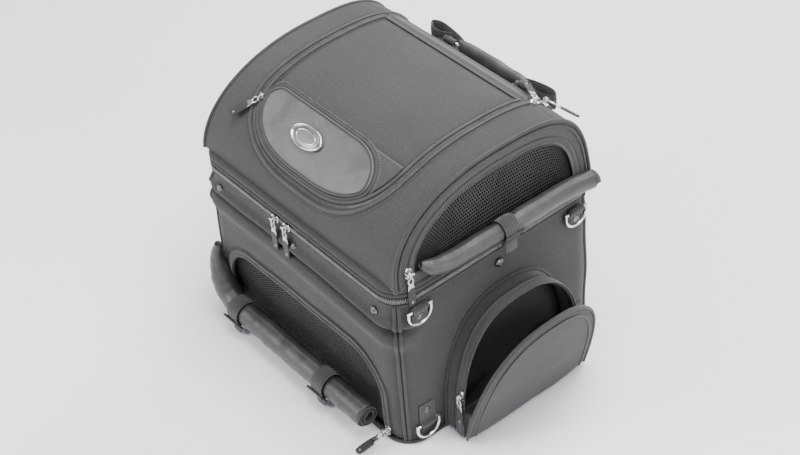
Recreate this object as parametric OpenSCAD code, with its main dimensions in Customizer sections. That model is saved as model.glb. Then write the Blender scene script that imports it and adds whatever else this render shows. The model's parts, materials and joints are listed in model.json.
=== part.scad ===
// Soft-sided motorcycle tail bag with a domed lid, three rolled mesh windows, two gusseted
// side pockets, a zipped top flap, D-rings, and a carry handle.
// The origin is on the ground under the middle of the body. +Z is up, the front of the bag
// faces -Y and its right side faces +X.

/* [Body] */
// Width of the body, side to side
bag_w = 400; // [340:1:480]
// Depth of the body, front to back
bag_d = 330; // [275:1:396]
// Height of the main zipper above the ground
zip_h = 250; // [208:1:300]
// Radius of the upright corners
corner_r = 32; // [26:1:40]
// Thickness of the padded fabric walls
wall_t = 3; // [2.5:0.1:3.6]
// Thickness of the sewn base panel
base_t = 3; // [2.5:0.1:3.6]
// Thickness of the stiff board in the base
board_t = 3; // [2.5:0.1:3.6]
// Thickness of the removable floor cushion
cushion_t = 16; // [13:1:20]
// Radius of the piping cord in the seams
piping_r = 2.4; // [2:0.1:2.9]

/* [Lid] */
// Rise of the lid's crown above the main zipper
lid_rise = 137; // [114:1:165]
// How far the lid's end arches stand in from the body's sides
arch_inset = 14; // [12:1:17]
// Height of the welted band round the lid's rim
rim_h = 14; // [12:1:17]
// Distance of the crown's top behind the middle of the body
crown_back = 20; // [16:1:24]
// Roundness of the lid's front slope
front_round = 2.15; // [1.8:0.05:2.6]
// Roundness of the lid's back corner
back_round = 3.1; // [2.6:0.1:3.7]

/* [Windows] */
// Distance of the front window's opening from the bends of the corners
front_win_margin = 5; // [4:0.5:8]
// Height of the front window's opening
front_win_h = 120; // [100:1:144]
// Height of the front window's sill above the ground
front_sill = 10; // [8:1:12]
// Radius of the front window's upper corners
front_win_r = 58; // [48:1:70]
// Width of the band between an end arch and its window
arch_band = 27; // [23:1:32]
// Radius of the rolled flap under the front window
front_roll_r = 17; // [14:1:20]
// Radius of a rolled flap under a lid window
end_roll_r = 12.5; // [10.5:0.5:15]
// Thickness of the mesh
mesh_t = 1; // [0.8:0.1:1.2]
// Width of the sewn zipper tapes
tape_w = 9; // [7:1:11]
// Thickness of the zipper tapes and webbing
tape_t = 1.5; // [1.3:0.1:1.8]

/* [Top flap] */
// Width of the lid's band between an end arch and the zipped top flap
flap_side_band = 52; // [44:1:62]
// Distance of the flap's hinge seam in front of the lid's back
flap_back_band = 49; // [41:1:58]
// Gap between the flap and the lid, which the zipper fills
flap_gap = 4; // [3.5:0.5:5]
// Thickness of the padded badge pocket on the flap
pocket_pad_t = 8; // [6.5:0.5:9.5]
// Length of the oval badge
badge_l = 58; // [48:1:68]
// Height of the oval badge
badge_h = 36; // [30:1:43]
// Thickness of the oval badge
badge_t = 3; // [2.5:0.1:3.6]

/* [Side pockets] */
// Gap between a side pocket and the D-rings in front of it
pocket_ring_gap = 3; // [2.5:0.5:6]
// Height of the wall between a side pocket and the main zipper
pocket_top_gap = 60; // [50:1:72]
// Depth of a side pocket's gusset
gusset_d = 38; // [32:1:45]
// Thickness of a side pocket's panel
panel_t = 6; // [5:0.5:7]
// Angle at which the right pocket's panel stands open
right_open = 16; // [0:1:30]
// Angle at which the left pocket's panel stands open
left_open = 0; // [0:1:30]

/* [Hardware] */
// Width of the D-ring webbing
webbing_w = 25; // [21:1:28]
// Width of a D-ring across its outside
ring_w = 40; // [36:1:46]
// Radius of a D-ring's wire
ring_wire_r = 2.2; // [1.9:0.1:2.6]
// Length of a zipper pull
pull_l = 50; // [42:1:52]
// Width of a zipper pull
pull_w = 12; // [10:1:14]
// Clearance of each hinge eye round its pin
eye_gap = 0.4; // [0.35:0.05:0.6]
// Length of the handle's grip
grip_l = 134; // [112:1:160]
// Height of the handle's flattened grip
grip_h = 30; // [25:1:36]
// Thickness of the handle's grip
grip_t = 16; // [14:1:19]

/* [Hidden] */

half_w = bag_w / 2;
half_d = bag_d / 2;
corner_x = half_w - corner_r;
corner_y = half_d - corner_r;
fine = 48;

// Levels, from the ground up
join_gap = 0.15;
overlap = 0.001;
tape_rise = 6;
wall_top = zip_h - tape_rise;
rim_bottom = zip_h + tape_rise;
rim_top = rim_bottom + rim_h;
board_top = base_t + board_t;
cushion_top = board_top + cushion_t;

// Lid profile, a half superellipse in front of the crown and another behind it
lid_front = half_d - 5;
lid_back = half_d - wall_t;
crown_rise = zip_h + lid_rise - rim_top;
end_x = half_w - arch_inset;
end_face = end_x + wall_t;

function sgn_pow(v, e) = sign(v) * pow(abs(v), e);
function lid_y(a, inset) = a < 90
  ? crown_back - (lid_front + crown_back - inset) * pow(cos(a), 2 / front_round)
  : crown_back + (lid_back - crown_back - inset) * pow(abs(cos(a)), 2 / back_round);
function lid_z(a, inset) =
  rim_top + (crown_rise - inset) * pow(sin(a), 2 / (a < 90 ? front_round : back_round));
function lid_slope(a) =
  atan2(lid_z(a + 1, 0) - lid_z(a - 1, 0), lid_y(a + 1, 0) - lid_y(a - 1, 0));

// Outline of the top flap seen from above. Its front lies on the steep slope, so growing the
// outline moves the front by a smaller share.
flap_half = end_x - flap_side_band;
hinge_back = lid_back - flap_back_band;
flap_reach = lid_front - 12;
flap_shoulder = flap_reach - 88;
flap_round = 3.2;
slope_share = 0.6;
function flap_outline(grow, back = hinge_back) = concat(
  [[flap_half + grow, back], [-flap_half - grow, back]],
  [for (a = [0:6:180]) [
    -(flap_half + grow) * sgn_pow(cos(a), 2 / flap_round),
    -flap_shoulder - (flap_reach - flap_shoulder + grow * slope_share)
      * pow(sin(a), 2 / flap_round)
  ]]);

// How far the flap's side edge is from the middle at a place in Y.
function flap_side_x(y) = flap_half
  * pow(1 - pow(max(0, -y - flap_shoulder) / (flap_reach - flap_shoulder), flap_round), 1 / flap_round);

// D-rings: bar centre out from the wall, and the places along the side
bar_x = half_w + 5;
ring_y = half_d - 34;
ring_leg = 6;
ring_bend = ring_w / 2 - ring_wire_r;
ring_drop = ring_leg + ring_bend + ring_wire_r;
upper_bar_z = wall_top - 12;
lower_bar_z = ring_drop + 2 * piping_r + 1.2;
tab_t = 2.4;
upper_tab_l = 24;
lower_tab_l = 36;
rivet_r = 5;
rivet_t = 1.4;
stud_r = 6;
stud_t = 3;

// Side pocket outline, in the plane of the bag's side
pocket_y = 4;
pocket_base = 6;
pocket_half = ring_y - ring_w / 2 - pocket_ring_gap - pocket_y;
pocket_h = zip_h - pocket_base - pocket_top_gap;
pocket_round = 2.6;
function pocket_outline(inset, lift) = [for (a = [0:6:180]) [
  pocket_y - (pocket_half - inset) * sgn_pow(cos(a), 2 / pocket_round),
  pocket_base + lift + (pocket_h - inset - lift) * pow(sin(a), 2 / pocket_round)
]];
function pocket_edge(z) = pocket_half
  * pow(1 - pow((z - pocket_base) / pocket_h, pocket_round), 1 / pocket_round);
panel_gap = 2;
panel_hinge_x = half_w + gusset_d + panel_gap;
panel_hinge_z = pocket_base + 2;
crown_t = 4;
crown_inset = 20;

// Front window and its roll, which ends clear of the window's zipper pull
front_win_w = 2 * (corner_x - front_win_margin);
front_slider_x = corner_x;
front_roll_y = -(half_d + front_roll_r + 3);
front_roll_z = front_sill + front_roll_r + 9;
front_roll_left = -(front_win_w / 2 + 8);
front_roll_right = front_slider_x - pull_w / 2 - front_roll_r - 4;
curl_x = -(front_win_w / 2 + 12);
curl_r = front_roll_r * 0.6;
mesh_lap = 4;
front_strap_x = [-front_win_w * 0.39, front_win_w * 0.19];
strap_gap = 0.4;

// Rolls of the lid's end windows
end_roll_x = half_w + end_roll_r - 4;
end_roll_z = rim_top + end_roll_r - 2.5;
end_roll_front = -(lid_front - 48);
end_roll_back = lid_back - 17;
end_strap_y = 8;
sill_z = rim_top + 12;

// Zipper sliders: crown pin height above the tape, pin radius, and body sizes
pin_h = 6.8;
pin_r = 1.4;
pin_l = 8;
slider_l = 15;
slider_w = 10;
slider_t = 3;
post = 2.4;
post_x = 4.5;
eye_r = pin_r + eye_gap;
eye_wall = 1.5;
eye_len = 4.4;
neck_l = 8;
pull_start = 5;
pull_t = 2.4;

// Places of the sliders
coil_t = 0.8;
zip_run_on = 34;
top_slider_a = [124, 134];
top_slider_x = flap_half + flap_gap + 5;
top_heading = [151, 24];
top_lift = 0.8;
badge_heading = -117;
main_slider_x = [-34, -10];
slider_face = half_d + coil_t + 0.4;
pocket_slider_z = 80;
window_slider_y = -(lid_front - 20);
window_slider_z = rim_top + 20;
window_pin_x = half_w + 3;
badge_slider_a = 48;
badge_slider_inset = 5.31;
front_slider_z = 15;
front_pull_lift = 84;

// Handle on the lid's back edge
tab_x = 72;
handle_y = half_d + 3;
handle_z = zip_h + lid_rise - 47;
grip_y = half_d + 15;
grip_z = handle_z - 13;
handle_bar_r = 2;
handle_sleeve = 22;
loop_reach = 48;

// ---------- Shared outlines and small parts ----------

// Rounded-rectangle plan of the body, moved in by an inset
module plan(inset) {
  r = corner_r - inset;
  square([2 * corner_x, 2 * (corner_y + r)], center = true);
  square([2 * (corner_x + r), 2 * corner_y], center = true);
  for (sx = [-1, 1], sy = [-1, 1])
    translate([sx * corner_x, sy * corner_y]) circle(r, $fn = fine);
}

// The share of the plan that belongs to one wall, split at the middle of each corner
module sector(side) {
  e = corner_r * 2;
  a = corner_x;
  b = corner_y;
  if (side == "front") polygon([[-a, -b], [-a - e, -b - e], [a + e, -b - e], [a, -b]]);
  if (side == "back") polygon([[-a, b], [a, b], [a + e, b + e], [-a - e, b + e]]);
  if (side == "right") polygon([[a, -b], [a + e, -b - e], [a + e, b + e], [a, b]]);
  if (side == "left") polygon([[-a, -b], [-a, b], [-a - e, b + e], [-a - e, -b - e]]);
}

// Slots at the four corners where the upright piping sits
module corner_slots(width) {
  for (sx = [-1, 1], sy = [-1, 1])
    translate([sx * corner_x, sy * corner_y]) rotate(sx * sy * 45)
      translate([sx > 0 ? 0 : -corner_r * 2, -width / 2]) square([corner_r * 2, width]);
}

// One wall of the body, as a flat sheet bent round half of each corner
module wall(side, z0, z1, outer, inner, slot) {
  translate([0, 0, z0]) linear_extrude(z1 - z0) difference() {
    intersection() {
      difference() { plan(outer); plan(inner); }
      sector(side);
    }
    if (slot > 0) corner_slots(slot);
  }
}

// Band round the front and both sides, open at the back
module three_sided_band(z0, z1, outer, inner) {
  for (side = ["front", "left", "right"]) wall(side, z0, z1, outer, inner, 0);
}

// Outlines drawn in the Y-Z plane and extruded along X
module along_x(x0, x1) {
  translate([x0, 0, 0]) rotate([90, 0, 90]) linear_extrude(x1 - x0) children();
}

module lid_outline(inset) {
  polygon([for (a = [0:4:180]) [lid_y(a, inset), lid_z(a, inset)]]);
}

module front_arch(grow) {
  w = front_win_w / 2 + grow;
  h = front_win_h + grow;
  r = front_win_r + grow;
  square([2 * w, h - r + overlap]);
  translate([r, 0]) square([2 * (w - r), h]);
  for (x = [r, 2 * w - r]) translate([x, h - r]) circle(r, $fn = fine);
}

// The front window's arch as an upright prism between two depths
module front_arch_prism(grow, y0, y1, z0) {
  translate([-front_win_w / 2 - grow, y1, z0]) rotate([90, 0, 0])
    linear_extrude(y1 - y0) front_arch(grow);
}

// Piping cord round the plan at one height
module cord_loop(outset, r, z) {
  c = corner_r + outset;
  for (s = [-1, 1]) {
    translate([-corner_x, s * (corner_y + c), z]) rotate([0, 90, 0])
      cylinder(h = 2 * corner_x, r = r, $fn = 16);
    translate([s * (corner_x + c), corner_y, z]) rotate([90, 0, 0])
      cylinder(h = 2 * corner_y, r = r, $fn = 16);
  }
  for (i = [0:3]) translate([(i == 0 || i == 3 ? 1 : -1) * corner_x, (i < 2 ? 1 : -1) * corner_y, z])
    rotate(i * 90) rotate_extrude(angle = 90, $fn = fine) translate([c, 0]) circle(r, $fn = 16);
}

// Stadium-shaped plate: a rectangle with two round ends, along Y
module stadium(length, width) {
  square([width, length - width], center = true);
  for (s = [-1, 1]) translate([0, s * (length - width) / 2]) circle(width / 2, $fn = 32);
}

// Zipper slider on a face: outwards is +Z. The body lies along the zipper at the angle lie,
// and the pin that the pull turns on lies at the angle turn, both counted from X.
module slider(lie = 0, turn = 0) {
  linear_extrude(slider_t) rotate(lie + 90) stadium(slider_l, slider_w);
  rotate(turn) {
    for (s = [-1, 1]) translate([s * post_x - post / 2, -post / 2, slider_t])
      cube([post, post, pin_h - slider_t + pin_r]);
    translate([-pin_l / 2, 0, pin_h]) rotate([0, 90, 0]) cylinder(h = pin_l, r = pin_r, $fn = 24);
  }
}

// Zipper pull: an eye round the slider's pin and a rounded tab along -Y from it
module pull() {
  eye_out = eye_r + eye_wall;
  tab_l = pull_l - 2 * pull_start;
  difference() {
    union() {
      translate([-eye_len / 2, 0, 0]) rotate([0, 90, 0])
        cylinder(h = eye_len, r = eye_out, $fn = 32);
      translate([-eye_len / 2, -eye_out - neck_l, -pull_t / 2])
        cube([eye_len, eye_out + neck_l, pull_t]);
      translate([0, -eye_out - pull_start - tab_l / 2, -pull_t / 2])
        linear_extrude(pull_t) stadium(tab_l, pull_w);
    }
    translate([-eye_len, 0, 0]) rotate([0, 90, 0]) cylinder(h = 2 * eye_len, r = eye_r, $fn = 32);
  }
}

// D-ring hanging from its bar: the bar runs along Y at the origin, the ring lies in Y-Z
module d_ring() {
  translate([0, -ring_bend, 0]) rotate([-90, 0, 0])
    cylinder(h = 2 * ring_bend, r = ring_wire_r, $fn = 24);
  for (s = [-1, 1]) {
    translate([0, s * ring_bend, 0]) sphere(ring_wire_r, $fn = 24);
    translate([0, s * ring_bend, -ring_leg]) cylinder(h = ring_leg, r = ring_wire_r, $fn = 24);
  }
  translate([0, 0, -ring_leg]) rotate([0, 90, 0]) rotate(-90)
    rotate_extrude(angle = 180, $fn = fine) translate([ring_bend, 0]) circle(ring_wire_r, $fn = 24);
}

// Webbing tab for a D-ring: a flat tab on the wall and a loop round the ring's bar
module ring_tab(tab_l, up) {
  bore = ring_wire_r + eye_gap;
  w = webbing_w;
  difference() {
    union() {
      rotate([-90, 0, 0]) translate([0, 0, -w / 2])
        cylinder(h = w, r = bar_x - half_w, $fn = 32);
      translate([half_w - bar_x, -w / 2, up ? 0 : -tab_l]) cube([tab_t, w, tab_l]);
    }
    rotate([-90, 0, 0]) translate([0, 0, -w]) cylinder(h = 2 * w, r = bore, $fn = 32);
  }
}

// ---------- Body ----------

module base_panel() color([0.16, 0.16, 0.17]) linear_extrude(base_t) plan(0);

module base_board() color([0.08, 0.08, 0.08])
  translate([0, 0, base_t]) linear_extrude(board_t) plan(wall_t + 2);

module floor_cushion() color([0.3, 0.3, 0.31])
  translate([0, 0, board_top]) linear_extrude(cushion_t) plan(wall_t + 4);

module body_piping() color([0.1, 0.1, 0.1]) {
  cord_loop(piping_r, piping_r, piping_r + 0.4);
  for (sx = [-1, 1], sy = [-1, 1])
    translate([sx * corner_x, sy * corner_y, 0]) rotate(45 * sx * sy)
      translate([sx * (corner_r - wall_t / 2 + 0.6), 0, base_t])
        cylinder(h = wall_top - base_t, r = piping_r, $fn = 24);
}

module front_panel() color([0.17, 0.17, 0.18]) difference() {
  wall("front", base_t, wall_top, 0, wall_t, 2 * piping_r);
  front_arch_prism(0, -half_d - 1, -half_d + wall_t + 1, front_sill);
}

module back_panel() color([0.17, 0.17, 0.18])
  wall("back", base_t, zip_h - join_gap, 0, wall_t, 2 * piping_r);

module right_side_panel() color([0.17, 0.17, 0.18])
  wall("right", base_t, wall_top, 0, wall_t, 2 * piping_r);

module left_side_panel() color([0.17, 0.17, 0.18])
  wall("left", base_t, wall_top, 0, wall_t, 2 * piping_r);

module front_mesh() color([0.05, 0.05, 0.05]) {
  y = -half_d + wall_t;
  front_arch_prism(mesh_lap, y, y + mesh_t, front_sill - mesh_lap);
}

module front_window_zipper() color([0.09, 0.09, 0.09]) difference() {
  front_arch_prism(tape_w, -half_d - tape_t, -half_d, front_sill);
  front_arch_prism(0, -half_d - tape_t - 1, -half_d + 1, front_sill - 0.01);
}

module front_flap_roll() color([0.2, 0.2, 0.21]) {
  translate([front_roll_left, front_roll_y, front_roll_z]) rotate([0, 90, 0])
    cylinder(h = front_roll_right - front_roll_left, r = front_roll_r, $fn = fine);
  for (x = [front_roll_left, front_roll_right])
    translate([x, front_roll_y, front_roll_z]) sphere(front_roll_r, $fn = fine);
  translate([curl_x, -half_d - tape_t - curl_r - 2, front_roll_z])
    cylinder(h = front_sill + front_win_h - front_roll_z, r = curl_r, $fn = 32);
}

module front_roll_straps() color([0.1, 0.1, 0.1])
  for (x = front_strap_x) translate([x - webbing_w / 2, front_roll_y, front_roll_z])
    rotate([0, 90, 0]) difference() {
      cylinder(h = webbing_w, r = front_roll_r + strap_gap + tape_t, $fn = fine);
      translate([0, 0, -1]) cylinder(h = webbing_w + 2, r = front_roll_r + strap_gap, $fn = fine);
    }

module pocket_gusset() {
  along_x(half_w, half_w + gusset_d) difference() {
    polygon(pocket_outline(0, 0));
    polygon(pocket_outline(wall_t, wall_t));
  }
}
module right_pocket_gusset() color([0.15, 0.15, 0.16]) pocket_gusset();
module left_pocket_gusset() color([0.15, 0.15, 0.16]) mirror([1, 0, 0]) pocket_gusset();

// Panel of a side pocket, hinged along its bottom edge and standing open by an angle
module pocket_panel(open) {
  translate([panel_hinge_x, 0, panel_hinge_z]) rotate([0, open, 0])
    translate([-panel_hinge_x, 0, -panel_hinge_z]) {
      along_x(panel_hinge_x, panel_hinge_x + panel_t) polygon(pocket_outline(0, 0));
      along_x(panel_hinge_x + panel_t, panel_hinge_x + panel_t + crown_t)
        polygon(pocket_outline(crown_inset, crown_inset));
    }
}
module right_pocket_panel() color([0.2, 0.2, 0.21]) pocket_panel(right_open);
module left_pocket_panel() color([0.2, 0.2, 0.21]) mirror([1, 0, 0]) pocket_panel(left_open);

// ---------- D-rings, rivets and snaps ----------

module each_side() for (sx = [0, 1]) mirror([sx, 0, 0]) children();

module d_ring_tabs() color([0.11, 0.11, 0.11]) each_side() for (sy = [-1, 1]) {
  translate([bar_x, sy * ring_y, upper_bar_z]) ring_tab(upper_tab_l, false);
  translate([bar_x, sy * ring_y, lower_bar_z]) ring_tab(lower_tab_l, true);
}

module rivets_and_studs() color([0.45, 0.45, 0.46]) {
  stud_z = zip_h - 27;
  each_side() for (sy = [-1, 1], z = [
    upper_bar_z - upper_tab_l / 2 - 2, lower_bar_z + lower_tab_l / 2 + 3
  ]) translate([half_w + tab_t, sy * ring_y, z]) rotate([0, 90, 0])
    cylinder(h = rivet_t, r = rivet_r, $fn = 32);
  for (x = [-1, 0, 1]) translate([x * (half_w - 38), -half_d, stud_z]) rotate([90, 0, 0])
    cylinder(h = stud_t, r = stud_r, $fn = 32);
  each_side() translate([half_w, 0, stud_z]) rotate([0, 90, 0])
    cylinder(h = stud_t, r = stud_r, $fn = 32);
}

module placed_ring(sx, sy, z) color([0.75, 0.75, 0.77])
  translate([sx * bar_x, sy * ring_y, z]) d_ring();

module d_ring_right_front_upper() placed_ring(1, -1, upper_bar_z);
module d_ring_right_back_upper() placed_ring(1, 1, upper_bar_z);
module d_ring_right_front_lower() placed_ring(1, -1, lower_bar_z);
module d_ring_right_back_lower() placed_ring(1, 1, lower_bar_z);
module d_ring_left_front_upper() placed_ring(-1, -1, upper_bar_z);
module d_ring_left_back_upper() placed_ring(-1, 1, upper_bar_z);
module d_ring_left_front_lower() placed_ring(-1, -1, lower_bar_z);
module d_ring_left_back_lower() placed_ring(-1, 1, lower_bar_z);

// ---------- Zippers, sliders and pulls of the body ----------

// Half of the main zipper: a tape with its row of coil along the edge that meets the other
module main_zipper_lower() color([0.08, 0.08, 0.08]) {
  three_sided_band(wall_top, zip_h - join_gap, wall_t / 2 - tape_t / 2, wall_t / 2 + tape_t / 2);
  three_sided_band(zip_h - 2.6, zip_h - join_gap, -coil_t, wall_t / 2 - tape_t / 2);
}

// Slider on the front face: the pin lies along X
module front_face_slider(x, y, z) {
  translate([x, -y, z]) rotate([90, 0, 0]) slider();
}
module front_face_pull(x, y, z, lift = 0) {
  translate([x, -y - pin_h, z]) rotate([90 - lift, 0, 0]) pull();
}
module main_slider_left() color("silver") front_face_slider(main_slider_x[0], slider_face, zip_h);
module main_slider_right() color("silver") front_face_slider(main_slider_x[1], slider_face, zip_h);
module main_pull_left() color("gray") front_face_pull(main_slider_x[0], slider_face, zip_h);
module main_pull_right() color("gray") front_face_pull(main_slider_x[1], slider_face, zip_h);

// Sliders sewn in on the front window and on both pocket gussets
pocket_slider_x = half_w + gusset_d - 2;
pocket_slider_y = pocket_edge(pocket_slider_z - slider_l / 2) + 0.2;
module pocket_slider_at(sy) {
  translate([pocket_slider_x, pocket_y + sy * pocket_slider_y, pocket_slider_z])
    rotate([-sy * 90, 0, 0]) slider(lie = 90);
}
module body_sliders() color("silver") {
  translate([front_slider_x, -half_d - tape_t, front_slider_z])
    rotate([90, 0, 0]) slider(lie = 90);
  each_side() for (sy = [-1, 1]) pocket_slider_at(sy);
}
module front_window_pull() color("gray")
  front_face_pull(front_slider_x, half_d + tape_t, front_slider_z, front_pull_lift);
module pocket_pull(sy) {
  translate([pocket_slider_x, pocket_y + sy * (pocket_slider_y + pin_h), pocket_slider_z])
    rotate([90, 0, 0]) pull();
}
module right_pocket_pull_front() color("gray") pocket_pull(-1);
module right_pocket_pull_back() color("gray") pocket_pull(1);
module left_pocket_pull_front() color("gray") mirror([1, 0, 0]) pocket_pull(-1);
module left_pocket_pull_back() color("gray") mirror([1, 0, 0]) pocket_pull(1);

// ---------- Lid ----------

module flap_prism(grow, back = hinge_back) {
  translate([0, 0, rim_top]) linear_extrude(crown_rise + 50)
    polygon(flap_outline(grow, back));
}

// Skin of the lid's curve between two insets
module lid_skin(outer, inner, half) {
  along_x(-half, half) difference() {
    lid_outline(outer);
    lid_outline(inner);
    translate([-bag_d, 0]) square([2 * bag_d, rim_top]);
  }
}

module lid_shell() color([0.18, 0.18, 0.19]) difference() {
  lid_skin(0, wall_t, end_x);
  flap_prism(flap_gap);
  translate([-flap_half - flap_gap, hinge_back - 0.01, rim_top + crown_rise / 2])
    cube([2 * (flap_half + flap_gap), 0.6, crown_rise]);
}

module lid_end() {
  along_x(end_x, end_face) difference() {
    lid_outline(0);
    window_outline(arch_band);
  }
}
module window_outline(inset) {
  intersection() {
    lid_outline(inset);
    translate([-half_d, sill_z - (arch_band - inset)]) square([bag_d, crown_rise]);
  }
}
module lid_right_end() color([0.17, 0.17, 0.18]) lid_end();
module lid_left_end() color([0.17, 0.17, 0.18]) mirror([1, 0, 0]) lid_end();

module lid_rim() color([0.13, 0.13, 0.13]) {
  shelf_t = wall_t;
  shelf_w = 14;
  three_sided_band(rim_bottom, rim_top - shelf_t, 0, wall_t);
  wall("back", zip_h + join_gap, rim_top - shelf_t, 0, wall_t, 0);
  translate([0, 0, rim_top - shelf_t]) linear_extrude(shelf_t) difference() {
    plan(0);
    square([2 * (end_x - wall_t), bag_d - 2 * shelf_w], center = true);
  }
}

module main_zipper_upper() color([0.08, 0.08, 0.08]) {
  three_sided_band(zip_h + join_gap, rim_bottom, wall_t / 2 - tape_t / 2, wall_t / 2 + tape_t / 2);
  three_sided_band(zip_h + join_gap, zip_h + 2.6, -coil_t, wall_t / 2 - tape_t / 2);
}

module window_meshes() color([0.05, 0.05, 0.05]) each_side()
  along_x(end_x - mesh_t, end_x) difference() {
    lid_outline(wall_t + 0.5);
    translate([-half_d, 0]) square([bag_d, rim_top + 1]);
  }

module window_zippers() color([0.09, 0.09, 0.09]) each_side()
  along_x(end_face, end_face + tape_t) difference() {
    window_outline(arch_band - tape_w);
    window_outline(arch_band);
  }

module end_roll() {
  translate([end_roll_x, end_roll_front, end_roll_z]) rotate([-90, 0, 0])
    cylinder(h = end_roll_back - end_roll_front, r = end_roll_r, $fn = fine);
  for (y = [end_roll_front, end_roll_back])
    translate([end_roll_x, y, end_roll_z]) sphere(end_roll_r, $fn = fine);
}
module right_window_roll() color([0.22, 0.22, 0.23]) end_roll();
module left_window_roll() color([0.22, 0.22, 0.23]) mirror([1, 0, 0]) end_roll();

// Webbing round the rolled flaps, and the two tabs that carry the handle
module lid_straps() color([0.11, 0.11, 0.11]) {
  each_side() translate([end_roll_x, end_strap_y - webbing_w / 2, end_roll_z])
    rotate([-90, 0, 0]) difference() {
      cylinder(h = webbing_w, r = end_roll_r + strap_gap + tape_t, $fn = fine);
      translate([0, 0, -1]) cylinder(h = webbing_w + 2, r = end_roll_r + strap_gap, $fn = fine);
      translate([-2 * end_roll_r, -2 * end_roll_r, -1])
        cube([2 * end_roll_r, 4 * end_roll_r, webbing_w + 2]);
    }
  tab_flare = 8;
  tab_h = 21;
  each_side() translate([tab_x - webbing_w / 2 - tab_flare, lid_back, handle_z - webbing_w])
    cube([webbing_w + 2 * tab_flare, tape_t, tab_h]);
}

// Metal keepers of the handle: a bar along X on two posts at each end
module handle_rings() color("silver") each_side() translate([tab_x, handle_y, handle_z]) {
  w = handle_sleeve / 2 + 3;
  translate([-w, 0, 0]) rotate([0, 90, 0]) cylinder(h = 2 * w, r = handle_bar_r, $fn = 24);
  for (s = [-1, 1]) translate([s * w - 1.5, lid_back + tape_t - handle_y, -8]) {
    cube([3, handle_y - lid_back - tape_t + handle_bar_r, 3]);
    translate([0, handle_y - lid_back - tape_t - handle_bar_r, 0])
      cube([3, 2 * handle_bar_r, 8]);
  }
}

// Webbing ends and the wrapped grip, which swing together on the two bars
module handle() color([0.25, 0.25, 0.26]) {
  bore = handle_bar_r + eye_gap;
  hem = 2.2;
  each_side() translate([tab_x, 0, 0]) {
    difference() {
      union() {
        translate([-handle_sleeve / 2, handle_y, handle_z]) rotate([0, 90, 0])
          cylinder(h = handle_sleeve, r = bore + hem, $fn = 32);
        translate([-handle_sleeve / 2, handle_y + 1, grip_z - hem])
          cube([handle_sleeve, hem * 2, handle_z - grip_z + hem]);
        translate([-handle_sleeve / 2, handle_y + 1, grip_z - webbing_w / 2])
          cube([handle_sleeve, grip_y - handle_y - 1 + hem / 2, webbing_w]);
      }
      translate([-handle_sleeve, handle_y, handle_z]) rotate([0, 90, 0])
        cylinder(h = 2 * handle_sleeve, r = bore, $fn = 32);
    }
    translate([handle_sleeve / 2, grip_y, grip_z - webbing_w / 2]) linear_extrude(webbing_w)
      difference() {
        translate([loop_reach / 2 - 6, 0]) rotate(90) stadium(loop_reach, 12);
        translate([loop_reach / 2 - 6, 0]) rotate(90) stadium(loop_reach - 2 * hem, 12 - 2 * hem);
      }
  }
  translate([-grip_l / 2, grip_y, grip_z]) rotate([90, 0, 90]) linear_extrude(grip_l)
    stadium(grip_h, grip_t);
}

// ---------- Top flap ----------

// The lid's half of the flap's zipper, which runs on past the flap's hinge at both sides
module top_zipper() color([0.08, 0.08, 0.08]) difference() {
  intersection() {
    lid_skin(-tape_t, 0, end_x);
    flap_prism(flap_gap + tape_w, hinge_back + zip_run_on);
  }
  flap_prism(flap_gap, hinge_back + zip_run_on + 1);
}

module top_flap() color([0.19, 0.19, 0.2]) intersection() {
  lid_skin(0, wall_t, end_x);
  flap_prism(0);
}

// Pocket pad in plan: inside the flap's zipper, from a seam across the flap to its front
pad_inset = 14;
pad_back = 80;
pad_right = 100;
pad_round = 22;
module pad_plan() {
  intersection() {
    polygon(flap_outline(-pad_inset));
    translate([pad_right - bag_w - pad_round, -pad_back - bag_d]) {
      square([bag_w, bag_d]);
      square([bag_w + pad_round, bag_d - pad_round]);
      translate([bag_w, bag_d - pad_round]) circle(pad_round, $fn = fine);
    }
  }
}
module badge_pocket() color([0.42, 0.42, 0.43]) intersection() {
  lid_skin(-pocket_pad_t, 0, end_x);
  translate([0, 0, rim_top]) linear_extrude(crown_rise + 50) pad_plan();
}

badge_a = 45;
badge_x = -18;
module badge() color("silver")
  translate([badge_x, lid_y(badge_a, -pocket_pad_t), lid_z(badge_a, -pocket_pad_t)])
    rotate([lid_slope(badge_a), 0, 0]) translate([0, 0, 0.4]) linear_extrude(badge_t)
      polygon([for (a = [0:10:350]) [badge_l / 2 * cos(a), badge_h / 2 * sin(a)]]);

// Sliders on the lid: one at the front foot of each window, two at the flap's back corner
module top_slider_place(i, lift) {
  a = top_slider_a[i];
  translate([top_slider_x, lid_y(a, -tape_t), lid_z(a, -tape_t)])
    rotate([lid_slope(a), 0, 0]) translate([0, 0, lift]) children();
}
module window_slider_place(lift) {
  translate([window_pin_x - pin_h + lift, window_slider_y, window_slider_z])
    rotate([0, 90, 0]) children();
}
module lid_sliders() color("silver") {
  garage_t = window_pin_x - pin_h - end_face - tape_t;
  each_side() {
    window_slider_place(0) slider(turn = 90);
    window_slider_place(-garage_t) linear_extrude(garage_t) rotate(90) stadium(slider_l, slider_w);
  }
  for (i = [0, 1]) top_slider_place(i, top_lift) slider(lie = 90, turn = top_heading[i] - 90);
}
module window_pull() {
  window_slider_place(pin_h) rotate(90) pull();
}
module right_window_pull() color("gray") window_pull();
module left_window_pull() color("gray") mirror([1, 0, 0]) window_pull();
module top_pull(i) {
  top_slider_place(i, top_lift + pin_h) rotate(top_heading[i] + 90) pull();
}
module top_pull_left() color("gray") top_pull(0);
module top_pull_right() color("gray") top_pull(1);

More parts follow.
